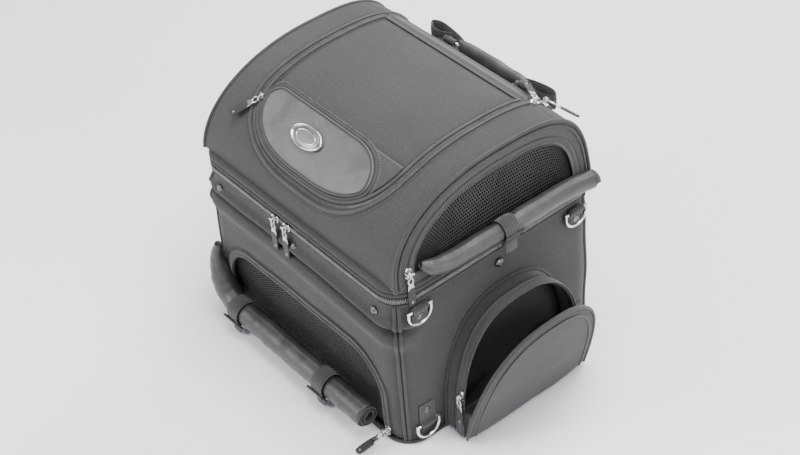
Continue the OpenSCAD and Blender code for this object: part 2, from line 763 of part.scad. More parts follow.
module badge_slider_place(lift) {
  a = badge_slider_a;
  translate([badge_slider_inset - flap_side_x(lid_y(a, 0)), lid_y(a, 0), lid_z(a, 0)])
    rotate([lid_slope(a), 0, 0]) translate([0, 0, lift]) children();
}
module badge_slider() color("silver")
  badge_slider_place(0.5) slider(lie = 90, turn = badge_heading - 90);
module badge_pull() color("gray")
  badge_slider_place(0.5 + pin_h) rotate(badge_heading + 90) pull();

base_panel();
base_board();
floor_cushion();
body_piping();
front_panel();
back_panel();
right_side_panel();
left_side_panel();
front_mesh();
front_window_zipper();
front_flap_roll();
front_roll_straps();
right_pocket_gusset();
left_pocket_gusset();
d_ring_tabs();
rivets_and_studs();
main_zipper_lower();
body_sliders();
main_slider_left();
main_slider_right();
main_pull_left();
main_pull_right();
front_window_pull();
right_pocket_pull_front();
right_pocket_pull_back();
left_pocket_pull_front();
left_pocket_pull_back();
d_ring_right_front_upper();
d_ring_right_back_upper();
d_ring_right_front_lower();
d_ring_right_back_lower();
d_ring_left_front_upper();
d_ring_left_back_upper();
d_ring_left_front_lower();
d_ring_left_back_lower();
right_pocket_panel();
left_pocket_panel();
lid_shell();
lid_right_end();
lid_left_end();
lid_rim();
main_zipper_upper();
window_meshes();
window_zippers();
right_window_roll();
left_window_roll();
lid_straps();
top_zipper();
lid_sliders();
handle_rings();
right_window_pull();
left_window_pull();
top_pull_left();
top_pull_right();
top_flap();
badge_pocket();
badge();
badge_slider();
badge_pull();
handle();
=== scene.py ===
"""Looks of a soft motorcycle tail bag: a woven body with a front mesh window, gusseted side
pockets, D-rings, a domed zip lid with rolled end windows, a zipped top flap and a handle."""
import json
import math
import bmesh
import bpy
import numpy as np
from mathutils import Matrix, Vector


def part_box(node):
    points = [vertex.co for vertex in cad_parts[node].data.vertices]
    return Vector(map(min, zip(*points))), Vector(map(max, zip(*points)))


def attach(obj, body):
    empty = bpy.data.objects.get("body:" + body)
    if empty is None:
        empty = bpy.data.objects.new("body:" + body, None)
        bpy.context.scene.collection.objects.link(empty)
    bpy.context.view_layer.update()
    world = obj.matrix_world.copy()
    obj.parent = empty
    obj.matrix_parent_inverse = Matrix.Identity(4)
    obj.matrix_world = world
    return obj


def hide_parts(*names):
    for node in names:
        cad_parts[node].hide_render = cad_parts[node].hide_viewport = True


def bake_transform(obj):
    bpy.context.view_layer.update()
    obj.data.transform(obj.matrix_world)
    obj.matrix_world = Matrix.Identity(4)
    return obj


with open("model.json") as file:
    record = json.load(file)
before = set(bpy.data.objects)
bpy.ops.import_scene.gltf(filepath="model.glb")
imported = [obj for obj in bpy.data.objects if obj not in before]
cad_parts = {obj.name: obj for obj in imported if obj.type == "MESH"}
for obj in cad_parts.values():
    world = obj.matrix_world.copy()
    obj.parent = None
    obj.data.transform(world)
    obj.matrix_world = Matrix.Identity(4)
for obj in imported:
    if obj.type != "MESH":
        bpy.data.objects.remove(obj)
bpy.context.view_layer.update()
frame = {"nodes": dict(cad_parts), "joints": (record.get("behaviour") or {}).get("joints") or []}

# ---- Camera and studio ---------------------------------------------------------------------
# A long lens looks down on the bag's front right corner. The camera leans a little, and soft
# lamps hang high in front and to both sides of a plain pale sweep.
turn, height, lean = math.radians(53.23), math.radians(40.07), math.radians(-4.77)
aim, distance = Vector((0, 0, 0.190)), 2.3159
back = Vector((math.sin(turn) * math.cos(height), -math.cos(turn) * math.cos(height), math.sin(height)))
level = Vector((math.cos(turn), math.sin(turn), 0))
upright = back.cross(level)
right = level * math.cos(lean) + upright * math.sin(lean)
lens = bpy.data.cameras.new("camera")
lens.sensor_width, lens.lens = 36, 78.38
lens.shift_x, lens.shift_y = 0.0042, -0.0255
camera = bpy.data.objects.new("camera", lens)
camera.matrix_world = Matrix.Translation(aim + back * distance) @ Matrix(
    (right, back.cross(right), back)).transposed().to_4x4()
bpy.context.scene.collection.objects.link(camera)
bpy.context.scene.camera = camera


def soft_lamp(name, place, size, watts):
    """A square lamp at a place, aimed at the middle of the bag."""
    light = bpy.data.lights.new(name, "AREA")
    light.size, light.energy = size, watts
    lamp = bpy.data.objects.new(name, light)
    lamp.location = place
    lamp.rotation_euler = (Vector(place) - aim).to_track_quat("Z", "Y").to_euler()
    bpy.context.scene.collection.objects.link(lamp)


soft_lamp("lamp_above", (0.3, 0.2, 2.2), 1.5, 74)
soft_lamp("lamp_front", (-0.9, -2.0, 1.5), 1.2, 52)
soft_lamp("lamp_side", (2.4, 0.3, 1.2), 1.3, 40)
soft_lamp("lamp_behind", (-0.6, 2.2, 1.6), 1.4, 54)
sky = bpy.data.worlds.new("sky")
sky.use_nodes = True
sky.node_tree.nodes["Background"].inputs["Color"].default_value = (0.95, 0.96, 1.0, 1)
sky.node_tree.nodes["Background"].inputs["Strength"].default_value = 0.55
bpy.context.scene.world = sky


class Wire:
    """One output of a shader node. Arithmetic on it adds Math nodes."""

    def __init__(self, finish, socket):
        self.finish, self.socket = finish, socket

    def maths(self, operation, *terms):
        return self.finish.node("Math", {"operation": operation}, {i: t for i, t in enumerate(terms)})

    def __add__(self, other):
        return self.maths("ADD", self, other)

    def __sub__(self, other):
        return self.maths("SUBTRACT", self, other)

    def __rsub__(self, other):
        return self.maths("SUBTRACT", other, self)

    def __mul__(self, other):
        return self.maths("MULTIPLY", self, other)

    __radd__, __rmul__ = __add__, __mul__

    def sine(self):
        return self.maths("SINE", self)


class Finish:
    """A material. node() adds a node by its type: its settings, then what its sockets hold."""

    def __init__(self, name, roughness=0.5, metallic=0.0, **fixed):
        self.material = bpy.data.materials.new(name)
        self.material.use_nodes = True
        self.tree = self.material.node_tree
        self.shader = self.tree.nodes["Principled BSDF"]
        self.shader.inputs["Roughness"].default_value = roughness
        self.shader.inputs["Metallic"].default_value = metallic
        for socket, value in fixed.items():
            self.shader.inputs[socket.replace("_", " ")].default_value = value

    def node(self, kind, settings, sockets, output=0):
        made = self.tree.nodes.new("ShaderNode" + kind)
        stops = settings.pop("stops", None)
        for name, value in settings.items():
            setattr(made, name, value)
        if stops:
            ramp = made.color_ramp.elements
            while len(ramp) < len(stops):
                ramp.new(0.5)
            for element, (place, colour) in zip(ramp, stops):
                element.position, element.color = place, (*colour, 1)
        for name, value in sockets.items():
            if isinstance(value, Wire):
                self.tree.links.new(value.socket, made.inputs[name])
            else:
                made.inputs[name].default_value = value
        return Wire(self, made.outputs[output])

    def place(self):
        return self.node("TexCoord", {}, {}, "Object")

    def cloth(self):
        """The piece's own UV map, in metres along and across the cloth, as two wires."""
        split = self.node("SeparateXYZ", {}, {0: self.node("TexCoord", {}, {}, "UV")})
        return split, Wire(self, split.socket.node.outputs[1])

    def grain(self, scale, detail=3.0, kind="Noise", at=None, output=0, **more):
        sockets = {"Vector": at or self.place(), "Scale": scale, **more}
        if kind == "Noise":
            sockets["Detail"] = detail
        return self.node("Tex" + kind, {}, sockets, output)

    def blend(self, share, first, second):
        return self.node("Mix", {"data_type": "RGBA"}, {0: share, 6: first, 7: second}, 2)

    def tones(self, value, *stops):
        return self.node("ValToRGB", {"stops": list(stops)}, {0: value})

    def wear(self, colour=None, roughness=None, alpha=None):
        for name, value in (("Base Color", colour), ("Roughness", roughness), ("Alpha", alpha)):
            if isinstance(value, Wire):
                self.tree.links.new(value.socket, self.shader.inputs[name])
            elif value is not None:
                self.shader.inputs[name].default_value = value
        return self

    def emboss(self, height, depth, strength=1.0):
        bump = self.node("Bump", {}, {"Height": height, "Distance": depth, "Strength": strength})
        self.tree.links.new(bump.socket, self.shader.inputs["Normal"])
        return self.material


def grey(level, warm=0.0):
    """A near-neutral colour of that brightness."""
    return (level * (1 + warm), level, level * (1 - warm), 1)


floor_paint = Finish("studio_floor", roughness=0.9).wear(colour=grey(0.96)).material
floor_mesh = bpy.data.meshes.new("floor")
floor_mesh.from_pydata([(-6, -6, 0), (6, -6, 0), (6, 6, 0), (-6, 6, 0)], [], [(0, 1, 2, 3)])
floor = bpy.data.objects.new("floor", floor_mesh)
floor.data.materials.append(floor_paint)
bpy.context.scene.collection.objects.link(floor)

# ---- Base ----------------------------------------------------------------------------------
# The base is a coated cloth panel with round corners, a stiff plastic board on it, and a
# fleece cushion that lies loose inside. The board keeps the base flat.
half_w, half_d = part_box("base_panel")[1].x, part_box("base_panel")[1].y
corner = 0.032
bend_x, bend_y = half_w - corner, half_d - corner
quarter = corner * math.pi / 2
zip_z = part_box("main_zipper_upper")[0].z
wall_low, wall_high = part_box("front_panel")[0].z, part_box("front_panel")[1].z


def plan_at(s):
    """Point and outward direction on the body's plan, at a distance s round it from the
    middle of the front: straight runs joined by quarter circles, mirrored for negative s."""
    a, sign = np.abs(s), np.where(s < 0, -1.0, 1.0)
    ends = np.cumsum([bend_x, quarter, 2 * bend_y, quarter])
    run = [a, (a - ends[0]) / corner, a - ends[1], (a - ends[2]) / corner, a - ends[3]]
    part = np.searchsorted(ends, a, side="right")
    x = np.choose(part, [run[0], bend_x + corner * np.sin(run[1]), half_w + 0 * a,
                         bend_x + corner * np.cos(run[3]), bend_x - run[4]])
    y = np.choose(part, [-half_d + 0 * a, -bend_y - corner * np.cos(run[1]), run[2] - bend_y,
                         bend_y + corner * np.sin(run[3]), half_d + 0 * a])
    nx = np.choose(part, [0 * a, np.sin(run[1]), 1 + 0 * a, np.cos(run[3]), 0 * a])
    ny = np.choose(part, [0 * a - 1, -np.cos(run[1]), 0 * a, np.sin(run[3]), 0 * a + 1])
    return np.stack([x * sign, y], -1), np.stack([nx * sign, ny], -1)


def make(name, points, faces, uv, finish, inside=None, smooth=True):
    """Joins points and four-sided faces into a mesh object, merges what meets, and turns it
    to face outwards: away from the point inside, or by its own volume where that is None."""
    points, faces = np.asarray(points, float).reshape(-1, 3), np.asarray(faces)
    a, b, c, d = (points[faces[:, i]] for i in range(4))
    area = np.cross(c - a, d - b)
    if inside is None:
        outward = (np.cross(b - a, c - a) * a).sum() + (np.cross(c - a, d - a) * a).sum()
    else:
        outward = (area * ((a + b + c + d) / 4 - np.asarray(inside))).sum()
    if outward < 0:
        faces, uv = faces[:, ::-1], uv[:, ::-1]
    mesh = bpy.data.meshes.new(name)
    mesh.vertices.add(len(points))
    mesh.vertices.foreach_set("co", points.astype(np.float32).ravel())
    mesh.loops.add(faces.size)
    mesh.loops.foreach_set("vertex_index", faces.astype(np.int32).ravel())
    mesh.polygons.add(len(faces))
    mesh.polygons.foreach_set("loop_start", np.arange(0, faces.size, 4, dtype=np.int32))
    mesh.update(calc_edges=True)
    mesh.uv_layers.new(name="cloth").data.foreach_set("uv", uv.astype(np.float32).ravel())
    work = bmesh.new()
    work.from_mesh(mesh)
    bmesh.ops.remove_doubles(work, verts=work.verts, dist=2e-6)
    bmesh.ops.dissolve_degenerate(work, edges=work.edges, dist=1e-6)
    for face in work.faces:
        face.smooth = smooth
    work.to_mesh(mesh)
    work.free()
    made = bpy.data.objects.new(name, mesh)
    made.data.materials.append(finish)
    bpy.context.scene.collection.objects.link(made)
    return made


def quads(grid, loop_rows=False, loop_columns=False):
    """Faces and UVs of a grid of points. The UVs are the mean distances along it, in metres."""
    rows, columns = grid.shape[:2]
    index = np.arange(rows * columns).reshape(rows, columns)
    p = grid
    if loop_rows:
        index, p = np.vstack([index, index[:1]]), np.concatenate([p, p[:1]], 0)
    if loop_columns:
        index, p = np.hstack([index, index[:, :1]]), np.concatenate([p, p[:, :1]], 1)
    u = np.append(0, np.cumsum(np.linalg.norm(np.diff(p, axis=0), axis=2).mean(1)))
    v = np.append(0, np.cumsum(np.linalg.norm(np.diff(p, axis=1), axis=2).mean(0)))
    uv = np.stack(np.meshgrid(u, v, indexing="ij"), -1)
    corners = [(slice(None, -1), slice(None, -1)), (slice(1, None), slice(None, -1)),
               (slice(1, None), slice(1, None)), (slice(None, -1), slice(1, None))]
    return (np.stack([index[k] for k in corners], -1).reshape(-1, 4),
            np.stack([uv[k] for k in corners], 2).reshape(-1, 4, 2))


def sheet(name, grids, finish, inside, thick=0.0, loop_rows=False, loop_columns=False):
    """One or more grids of points as one cloth, given its thickness inwards."""
    points, faces, uvs, count = [], [], [], 0
    for grid in grids if isinstance(grids, list) else [grids]:
        f, uv = quads(grid, loop_rows, loop_columns)
        points.append(grid.reshape(-1, 3))
        faces.append(f + count)
        uvs.append(uv)
        count += grid.shape[0] * grid.shape[1]
    made = make(name, np.vstack(points), np.vstack(faces), np.vstack(uvs), finish, inside)
    if thick:
        wall = made.modifiers.new("thickness", "SOLIDIFY")
        wall.thickness, wall.offset = thick, -1
    return made


def unit(v):
    return v / np.maximum(np.linalg.norm(v, axis=-1, keepdims=True), 1e-12)


def along(path, loop=False):
    """Direction of travel at each point of a path."""
    if loop:
        return unit(np.roll(path, -1, 0) - np.roll(path, 1, 0))
    return unit(np.gradient(path, axis=0))


def tube(path, outward, across, depth, sides=10, loop=False, caps=True):
    """Rings of points round a path: ovals across by depth, with the depth turned outward.
    The ends close on their own middle points. across and depth are one value or one a point."""
    path = np.asarray(path, float)
    travel = along(path, loop)
    out = np.broadcast_to(np.asarray(outward, float), path.shape)
    out = unit(out - (out * travel).sum(1, keepdims=True) * travel)
    side = np.cross(travel, out)
    angle = np.arange(sides) * 2 * math.pi / sides
    wide = np.broadcast_to(across, len(path))[:, None, None]
    deep = np.broadcast_to(depth, len(path))[:, None, None]
    rings = path[:, None] + side[:, None] * np.cos(angle)[:, None] * wide \
        + out[:, None] * np.sin(angle)[:, None] * deep
    if caps and not loop:
        rings = np.concatenate([rings[:1] * 0 + path[0], rings, rings[-1:] * 0 + path[-1]])
    return rings


def rod(name, path, outward, across, depth, finish, sides=10, loop=False):
    """A closed tube, or several, as one piece. path is one path or a list of them."""
    paths = path if isinstance(path, list) else [path]
    outs = outward if isinstance(outward, list) else [outward] * len(paths)
    points, faces, uvs, count = [], [], [], 0
    for one, out in zip(paths, outs):
        rings = tube(one, out, across, depth, sides, loop)
        f, uv = quads(rings, loop_rows=loop, loop_columns=True)
        points.append(rings.reshape(-1, 3))
        faces.append(f + count)
        uvs.append(uv)
        count += rings.shape[0] * rings.shape[1]
    return make(name, np.vstack(points), np.vstack(faces), np.vstack(uvs), finish)


def body_piece(piece, slot, *nodes, body="bag_body"):
    """Rides a finished piece on a body and hides the parts it stands for. The slot is not used."""
    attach(piece, body)
    if nodes:
        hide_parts(*nodes)
    return piece


def coated_cloth(name, level):
    """Coated base cloth: coarse matt threads under a thin film."""
    made = Finish(name, roughness=0.62)
    spots = made.grain(1800, 2)
    made.wear(colour=made.tones(spots, (0.3, grey(level * 0.7)[:3]), (0.7, grey(level * 1.3)[:3])))
    return made.emboss(spots, 0.0004, 0.4)


base_cloth = coated_cloth("base_cloth", 0.02)
board_plastic = coated_cloth("board_plastic", 0.012)
frame["nodes"]["base_panel"].data.materials.clear()
frame["nodes"]["base_panel"].data.materials.append(base_cloth)
frame["nodes"]["base_board"].data.materials.clear()
frame["nodes"]["base_board"].data.materials.append(board_plastic)


def fleece(name, level):
    """Short fleece: clumped fibres with a soft sheen."""
    made = Finish(name, roughness=0.95, Sheen_Weight=0.5)
    clumps = made.grain(420, 5)
    made.wear(colour=made.tones(clumps, (0.3, grey(level * 0.6)[:3]), (0.75, grey(level * 1.5)[:3])))
    return made.emboss(clumps, 0.002, 0.8)


def puffed(piece, voxel, cap, pressure=4.0):
    """A stuffed piece: the closed shape is remeshed, blown up as cloth, and held to a cap on
    how far each point may move."""
    bpy.context.view_layer.objects.active = piece
    remesh = piece.modifiers.new("voxels", "REMESH")
    remesh.mode, remesh.voxel_size, remesh.use_smooth_shade = "VOXEL", voxel, True
    bpy.ops.object.modifier_apply(modifier="voxels")
    start = np.array([v.co for v in piece.data.vertices])
    cloth = piece.modifiers.new("cloth", "CLOTH")
    cloth.settings.use_pressure, cloth.settings.uniform_pressure_force = True, pressure
    cloth.settings.effector_weights.gravity = 0
    cloth.settings.quality = 4
    scene = bpy.context.scene
    for step in range(1, 21):
        scene.frame_set(step)
    bpy.ops.object.modifier_apply(modifier="cloth")
    scene.frame_set(1)
    moved = np.array([v.co for v in piece.data.vertices]) - start
    length = np.linalg.norm(moved, axis=1, keepdims=True)
    held = start + moved * np.minimum(1, cap / np.maximum(length, 1e-9))
    piece.data.vertices.foreach_set("co", held.astype(np.float32).ravel())
    for face in piece.data.polygons:
        face.use_smooth = True
    smoother = piece.modifiers.new("smoother", "SUBSURF")
    smoother.levels = smoother.render_levels = 1
    return piece


def pad_rings(outline, low, high, steps=5):
    """A closed pad from an outline of points: the top and the bottom close on their middles,
    and the edge is a half round. low and high are functions of the points' places."""
    middle = outline.mean(0)
    shares = np.concatenate([np.linspace(0, 1, steps), np.linspace(1, 0, steps)])
    rows = middle + (outline - middle) * shares[:, None, None]
    lift = np.concatenate([np.ones(steps), np.zeros(steps)])[:, None, None]
    return low(rows) * (1 - lift) + high(rows) * lift


cushion_low, cushion_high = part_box("floor_cushion")
around = np.linspace(-1, 1, 161)[:-1] * (bend_x + quarter + 2 * bend_y + quarter + bend_x)
cushion_outline = plan_at(around)[0] * 0.955
cushion_rings = pad_rings(
    np.column_stack([cushion_outline, 0 * around]),
    lambda p: p * (1, 1, 0) + (0, 0, cushion_low.z + 0.001),
    lambda p: p * (1, 1, 0) + (0, 0, cushion_high.z - 0.005), steps=12)
cushion_faces, cushion_uv = quads(cushion_rings, loop_columns=True)
cushion = make("floor_cushion_cover", cushion_rings, cushion_faces, cushion_uv,
               fleece("fleece", 0.12))
body_piece(puffed(cushion, 0.006, 0.005), "fleece", "floor_cushion")

# ---- Walls ---------------------------------------------------------------------------------
# Four padded polyester walls are cut flat and bent round the corners, where they meet in an
# upright piped seam. The front wall has a wide arched window and a soft fold above it.
seam_front = bend_x + quarter / 2
seam_back = bend_x + quarter + 2 * bend_y + quarter / 2
back_middle = seam_back + quarter / 2 + bend_x
inside_bag = (0, 0, 0.15)
win_half, win_sill, win_top, win_round = 0.163, 0.010, 0.130, 0.058
fold_z = 0.210


def weave_cloth(name, level, pitch=0.0021, slub=0.5, fuzz=0.12):
    """Plain-woven polyester: a checker of over and under threads, with slubs that make some
    threads lighter, and faint dusty patches."""
    made = Finish(name, roughness=0.82, Sheen_Weight=fuzz, Sheen_Roughness=0.5)
    u, v = made.cloth()
    warp = (u * (2 * math.pi / pitch)).sine()
    weft = (v * (2 * math.pi / pitch)).sine()
    checks = warp * weft
    slubs = made.grain(430, 4)
    dust = made.grain(9, 3)
    shade = checks * 0.16 + slubs * slub + dust * 0.2 + 0.15
    made.wear(colour=made.tones(shade, (0.25, grey(level * 0.45)[:3]), (0.5, grey(level)[:3]),
                                (0.75, grey(level * 2.2)[:3])))
    return made.emboss(checks * 0.6 + slubs * 0.8, 0.0007, 0.55)


def ripple(x, y, seed, size):
    """A smooth random height: a sum of five sine waves of mixed direction and length."""
    waves = np.random.default_rng(seed)
    total = 0.0
    for k in range(5):
        angle, long, phase = waves.uniform(0, math.pi), size * waves.uniform(0.6, 1.8), waves.uniform(0, 6.28)
        total = total + np.sin((x * math.cos(angle) + y * math.sin(angle)) * 2 * math.pi / long + phase)
    return total / 5


def slack(s, z):
    """How far the walls stand out from the plan: a soft belly, the front's sharp fold with a
    swelling under it, and small ripples that die out at the seams."""
    rise = (z - wall_low) / (wall_high - wall_low)
    belly = 0.004 * np.sin(math.pi * np.clip(rise, 0, 1)) ** 0.7
    front = 1 / (1 + np.exp((np.abs(s) - seam_front - 0.012) / 0.006))
    line = fold_z - 0.010 * (s / seam_front) ** 2 * 0.4 - 0.018 * (s + 0.05)
    fold = -0.014 * np.exp(-((z - line) / 0.0030) ** 2)
    swell = 0.0070 * np.exp(-((z - line + 0.017) / 0.012) ** 2) \
        + 0.0062 * np.exp(-((z - line - 0.009) / 0.0065) ** 2)
    edge = np.clip(np.minimum(z - wall_low, wall_high - z) / 0.02, 0, 1)
    return (belly + front * (fold + swell) + 0.0013 * ripple(s, z, 3, 0.12)) * edge


def wall_point(s, z, lift=0.0):
    """A point of a wall at a distance s round the plan and a height z, moved out by its slack."""
    flat, out = plan_at(s)
    return np.concatenate([flat + out * (slack(s, z) + lift)[..., None], z[..., None]], -1)


def wall_patch(first, last, low, high, columns, rows):
    s, z = np.meshgrid(np.linspace(first, last, columns), np.linspace(low, high, rows), indexing="ij")
    return wall_point(s, z)


def arch_line(count, grow=0.0):
    """The front window's edge as distance and height: up one leg, over two quarter circles
    and a straight top, and down the other leg."""
    r = win_round + grow
    leg, arc, top = win_top - win_round - win_sill, r * math.pi / 2, 2 * (win_half - win_round)
    t = np.linspace(0, 2 * leg + 2 * arc + top, count)
    ends = np.cumsum([leg, arc, top, arc])
    part = np.searchsorted(ends, t, side="right")
    bend = [(t - ends[0]) / r, (t - ends[2]) / r]
    x, z = win_half + grow, win_top + grow
    s = np.choose(part, [-x + 0 * t, -x + r - r * np.cos(bend[0]), -x + r + t - ends[1],
                         x - r + r * np.sin(bend[1]), x + 0 * t])
    h = np.choose(part, [win_sill + t, z - r + r * np.sin(bend[0]), z + 0 * t,
                         z - r + r * np.cos(bend[1]), z - r - (t - ends[3])])
    return s, h


def front_wall():
    """The wall between the window's edge and the seams, and a strip under the sill. Each line
    runs straight in the flat cloth from a point of the arch to one of the outer edge."""
    s, z = arch_line(181)
    t = np.linspace(0, 1, 181)
    turn_in = 0.21
    outer_s = np.interp(t, [0, turn_in, 1 - turn_in, 1], [-seam_front, -seam_front, seam_front, seam_front])
    outer_z = np.interp(t, [0, turn_in, 1 - turn_in, 1], [wall_low, wall_high, wall_high, wall_low])
    share = np.linspace(0, 1, 84)[:, None]
    ring = wall_point(s + (outer_s - s) * share, z + (outer_z - z) * share)
    return [ring, wall_patch(-win_half, win_half, wall_low, win_sill, 60, 3)]


body_cloth = weave_cloth("body_cloth", 0.026)
side_columns = 120
walls = [
    ("front_wall", front_wall(), "front_panel"),
    ("right_wall", wall_patch(seam_front, seam_back, wall_low, wall_high, side_columns, 50),
     "right_side_panel"),
    ("left_wall", wall_patch(-seam_back, -seam_front, wall_low, wall_high, side_columns, 50),
     "left_side_panel"),
    ("back_wall", [wall_patch(seam_back, back_middle, wall_low, zip_z, 60, 50),
                   wall_patch(-back_middle, -seam_back, wall_low, zip_z, 60, 50)], "back_panel"),
]
for name, grids, node in walls:
    wall = sheet(name, grids, body_cloth, inside_bag, thick=0.003)
    body_piece(wall, "body_fabric", node)

# ---- Body piping ---------------------------------------------------------------------------
# Cloth-covered cord is sewn into the seam round the base and doubled in the four upright
# seams, so that the corners keep their line.
pipe_r = 0.0024


def covered_cord(name, level):
    """Piping: a tight diagonal cover over a cord."""
    made = Finish(name, roughness=0.6, Sheen_Weight=0.15)
    u, v = made.cloth()
    twist = ((u + v) * (2 * math.pi / 0.0022)).sine()
    dust = made.grain(60, 3)
    made.wear(colour=made.tones(twist * 0.25 + dust * 0.9, (0.2, grey(level * 0.5)[:3]),
                                (0.8, grey(level * 1.7)[:3])))
    return made.emboss(twist, 0.0003, 0.5)


piping_cover = covered_cord("piping_cover", 0.018)
ring_s = np.linspace(-back_middle, back_middle, 421)[:-1]
flat, out = plan_at(ring_s)
base_cord = np.column_stack([flat + out * pipe_r, 0 * ring_s + pipe_r + 0.0004])
body_piece(rod("base_piping", base_cord, (0, 0, 1), pipe_r, pipe_r, piping_cover, loop=True),
           "piping", "body_piping")
stand_z = np.linspace(0.006, wall_high - 0.002, 60)
stands = []
for seam in (seam_front, -seam_front, seam_back, -seam_back):
    for shift in (-0.0026, 0.0026):
        stands.append(wall_point(0 * stand_z + seam + shift, stand_z, 0.0008 + 0 * stand_z))
body_piece(rod("corner_piping", stands, (0.01, 0.012, 0), pipe_r, pipe_r, piping_cover), "piping")

# ---- Front window --------------------------------------------------------------------------
# Black knitted mesh is stretched behind the arched opening. A coil zipper on woven tape runs
# round the arch, and a row of stitches holds the tape to the wall.


def knit_mesh(name, level, pitch=0.0034):
    """Knitted mesh: round holes in a honeycomb, which let the dark inside show through."""
    made = Finish(name, roughness=0.6)
    u, v = made.cloth()
    turn_in = 2 * math.pi / pitch
    across = (u * turn_in).maths("COSINE", u * turn_in)
    slant = (u * 0.5 + v * 0.866) * turn_in
    other = (u * 0.5 - v * 0.866) * turn_in
    holes = across + slant.maths("COSINE", slant) + other.maths("COSINE", other)
    open_share = holes.maths("GREATER_THAN", holes, 0.55)
    shine = made.grain(30, 2)
    made.wear(colour=made.tones(shine, (0.3, grey(level)[:3]), (0.7, grey(level * 2.2)[:3])),
              alpha=1 - open_share)
    return made.emboss(holes * -0.5, 0.0006, 0.6)


def zip_tape(name, level):
    """Woven zipper tape: fine ribs along its length."""
    made = Finish(name, roughness=0.7, Sheen_Weight=0.2)
    u, v = made.cloth()
    ribs = (v * (2 * math.pi / 0.0011)).sine()
    knots = (u * (2 * math.pi / 0.0016)).sine()
    made.wear(colour=made.tones(ribs * 0.2 + knots * 0.12 + 0.5, (0.2, grey(level * 0.5)[:3]),
                                (0.8, grey(level * 1.6)[:3])))
    return made.emboss(ribs + knots * 0.6, 0.0003, 0.5)


def nylon(name, level):
    """Nylon zipper coil: smooth and slightly glossy, duller where the slider has rubbed it."""
    made = Finish(name)
    rubbed = made.grain(90, 3)
    made.wear(colour=made.tones(rubbed, (0.3, grey(level * 0.8)[:3]), (0.7, grey(level * 1.5)[:3])),
              roughness=rubbed * 0.3 + 0.22)
    return made.emboss(made.grain(1500, 2), 0.0001, 0.3)


def studs_along(path, across, outward, pitch, size, shift=0.0):
    """Points and faces of a row of small six-sided links along a path, each laid across it and
    tapered at both ends: one link's twelve corners, copied to every place at once."""
    step = np.append(0, np.cumsum(np.linalg.norm(np.diff(path, axis=0), axis=1)))
    places = np.arange(pitch * (0.5 + shift), step[-1] - pitch * 0.25, pitch)
    bend = [np.stack([np.interp(places, step, v[:, k]) for k in range(3)], -1)
            for v in (path, np.broadcast_to(across, path.shape), np.broadcast_to(outward, path.shape))]
    go = np.stack([np.interp(places, step, along(path)[:, k]) for k in range(3)], -1)
    around = np.arange(6) * math.pi / 3
    shape = np.array([(x * size[0] / 2, math.cos(t) * size[1] / 2 * f, math.sin(t) * size[2] / 2 * f)
                      for x, f in ((-1, 0.55), (-0.6, 1), (0.6, 1), (1, 0.55)) for t in around])
    points = bend[0][:, None] + unit(bend[1])[:, None] * shape[:, :1] \
        + unit(go)[:, None] * shape[:, 1:2] + unit(bend[2])[:, None] * shape[:, 2:]
    sides = [(r * 6 + k, r * 6 + (k + 1) % 6, r * 6 + 6 + (k + 1) % 6, r * 6 + 6 + k)
             for r in range(3) for k in range(6)]
    ends = [(e, e + a, e + b, e + c) for e in (0, 18) for a, b, c in ((1, 2, 3), (3, 4, 5))]
    ends[:2] = [face[::-1] for face in ends[:2]]
    faces = np.array(sides + ends)[:, ::-1]
    count = len(places)
    return points.reshape(-1, 3), (faces + np.arange(count)[:, None, None] * 24).reshape(-1, 4)


def links(name, rows, finish, pitch, size):
    """Rows of links as one piece. A row is a path, the way across it and outwards, and a
    share of the pitch by which it starts later."""
    points, faces, count = [], [], 0
    for path, across, outward, shift in rows:
        p, f = studs_along(path, across, outward, pitch, size, shift)
        points.append(p)
        faces.append(f + count)
        count += len(p)
    faces = np.vstack(faces)
    return make(name, np.vstack(points), faces, np.zeros((len(faces), 4, 2)), finish)


def strip(path, across, outward, near, far, lift, crown=0.0, columns=5):
    """A band beside a path: from near to far across it, lifted outwards, highest in the
    middle by the crown."""
    t = np.linspace(0, 1, columns)[:, None]
    across, outward = unit(across), unit(outward)
    return path[:, None] + across[:, None] * (near + (far - near) * t) \
        + outward[:, None] * (lift + crown * np.sin(math.pi * t))


black_mesh = knit_mesh("black_mesh", 0.010)
tape_weave = zip_tape("tape_weave", 0.024)
coil_nylon = nylon("coil_nylon", 0.065)
thread = nylon("thread", 0.05)
stitch_pitch, stitch_size = 0.0034, (0.0007, 0.0024, 0.0007)

window_low, window_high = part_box("front_mesh")
xs, zs = np.meshgrid(np.linspace(window_low.x, window_high.x, 90),
                     np.linspace(window_low.z, window_high.z, 36), indexing="ij")
sag = 0.004 * np.sin(math.pi * (xs - window_low.x) / (window_high.x - window_low.x)) \
    * np.sin(math.pi * (zs - window_low.z) / (window_high.z - window_low.z))
corner_cut = np.clip((np.abs(xs) - 0.105) / 0.061, 0, 1)
zs = window_low.z + (zs - window_low.z) * (1 - 0.42 * (1 - np.sqrt(1 - corner_cut ** 2)))
front_net = sheet("front_net", np.stack([xs, window_low.y + 0.0006 + sag, zs], -1), black_mesh,
                  inside_bag)
body_piece(front_net, "mesh", "front_mesh")


def arch_path(grow, lift, count=240):
    """The front arch grown by a distance, on the wall, with the ways across and outwards."""
    s, z = arch_line(count, grow)
    path = wall_point(s, z, lift + 0 * s)
    outward = np.column_stack([plan_at(s)[1], 0 * s])
    return path, np.cross(along(path), outward), outward


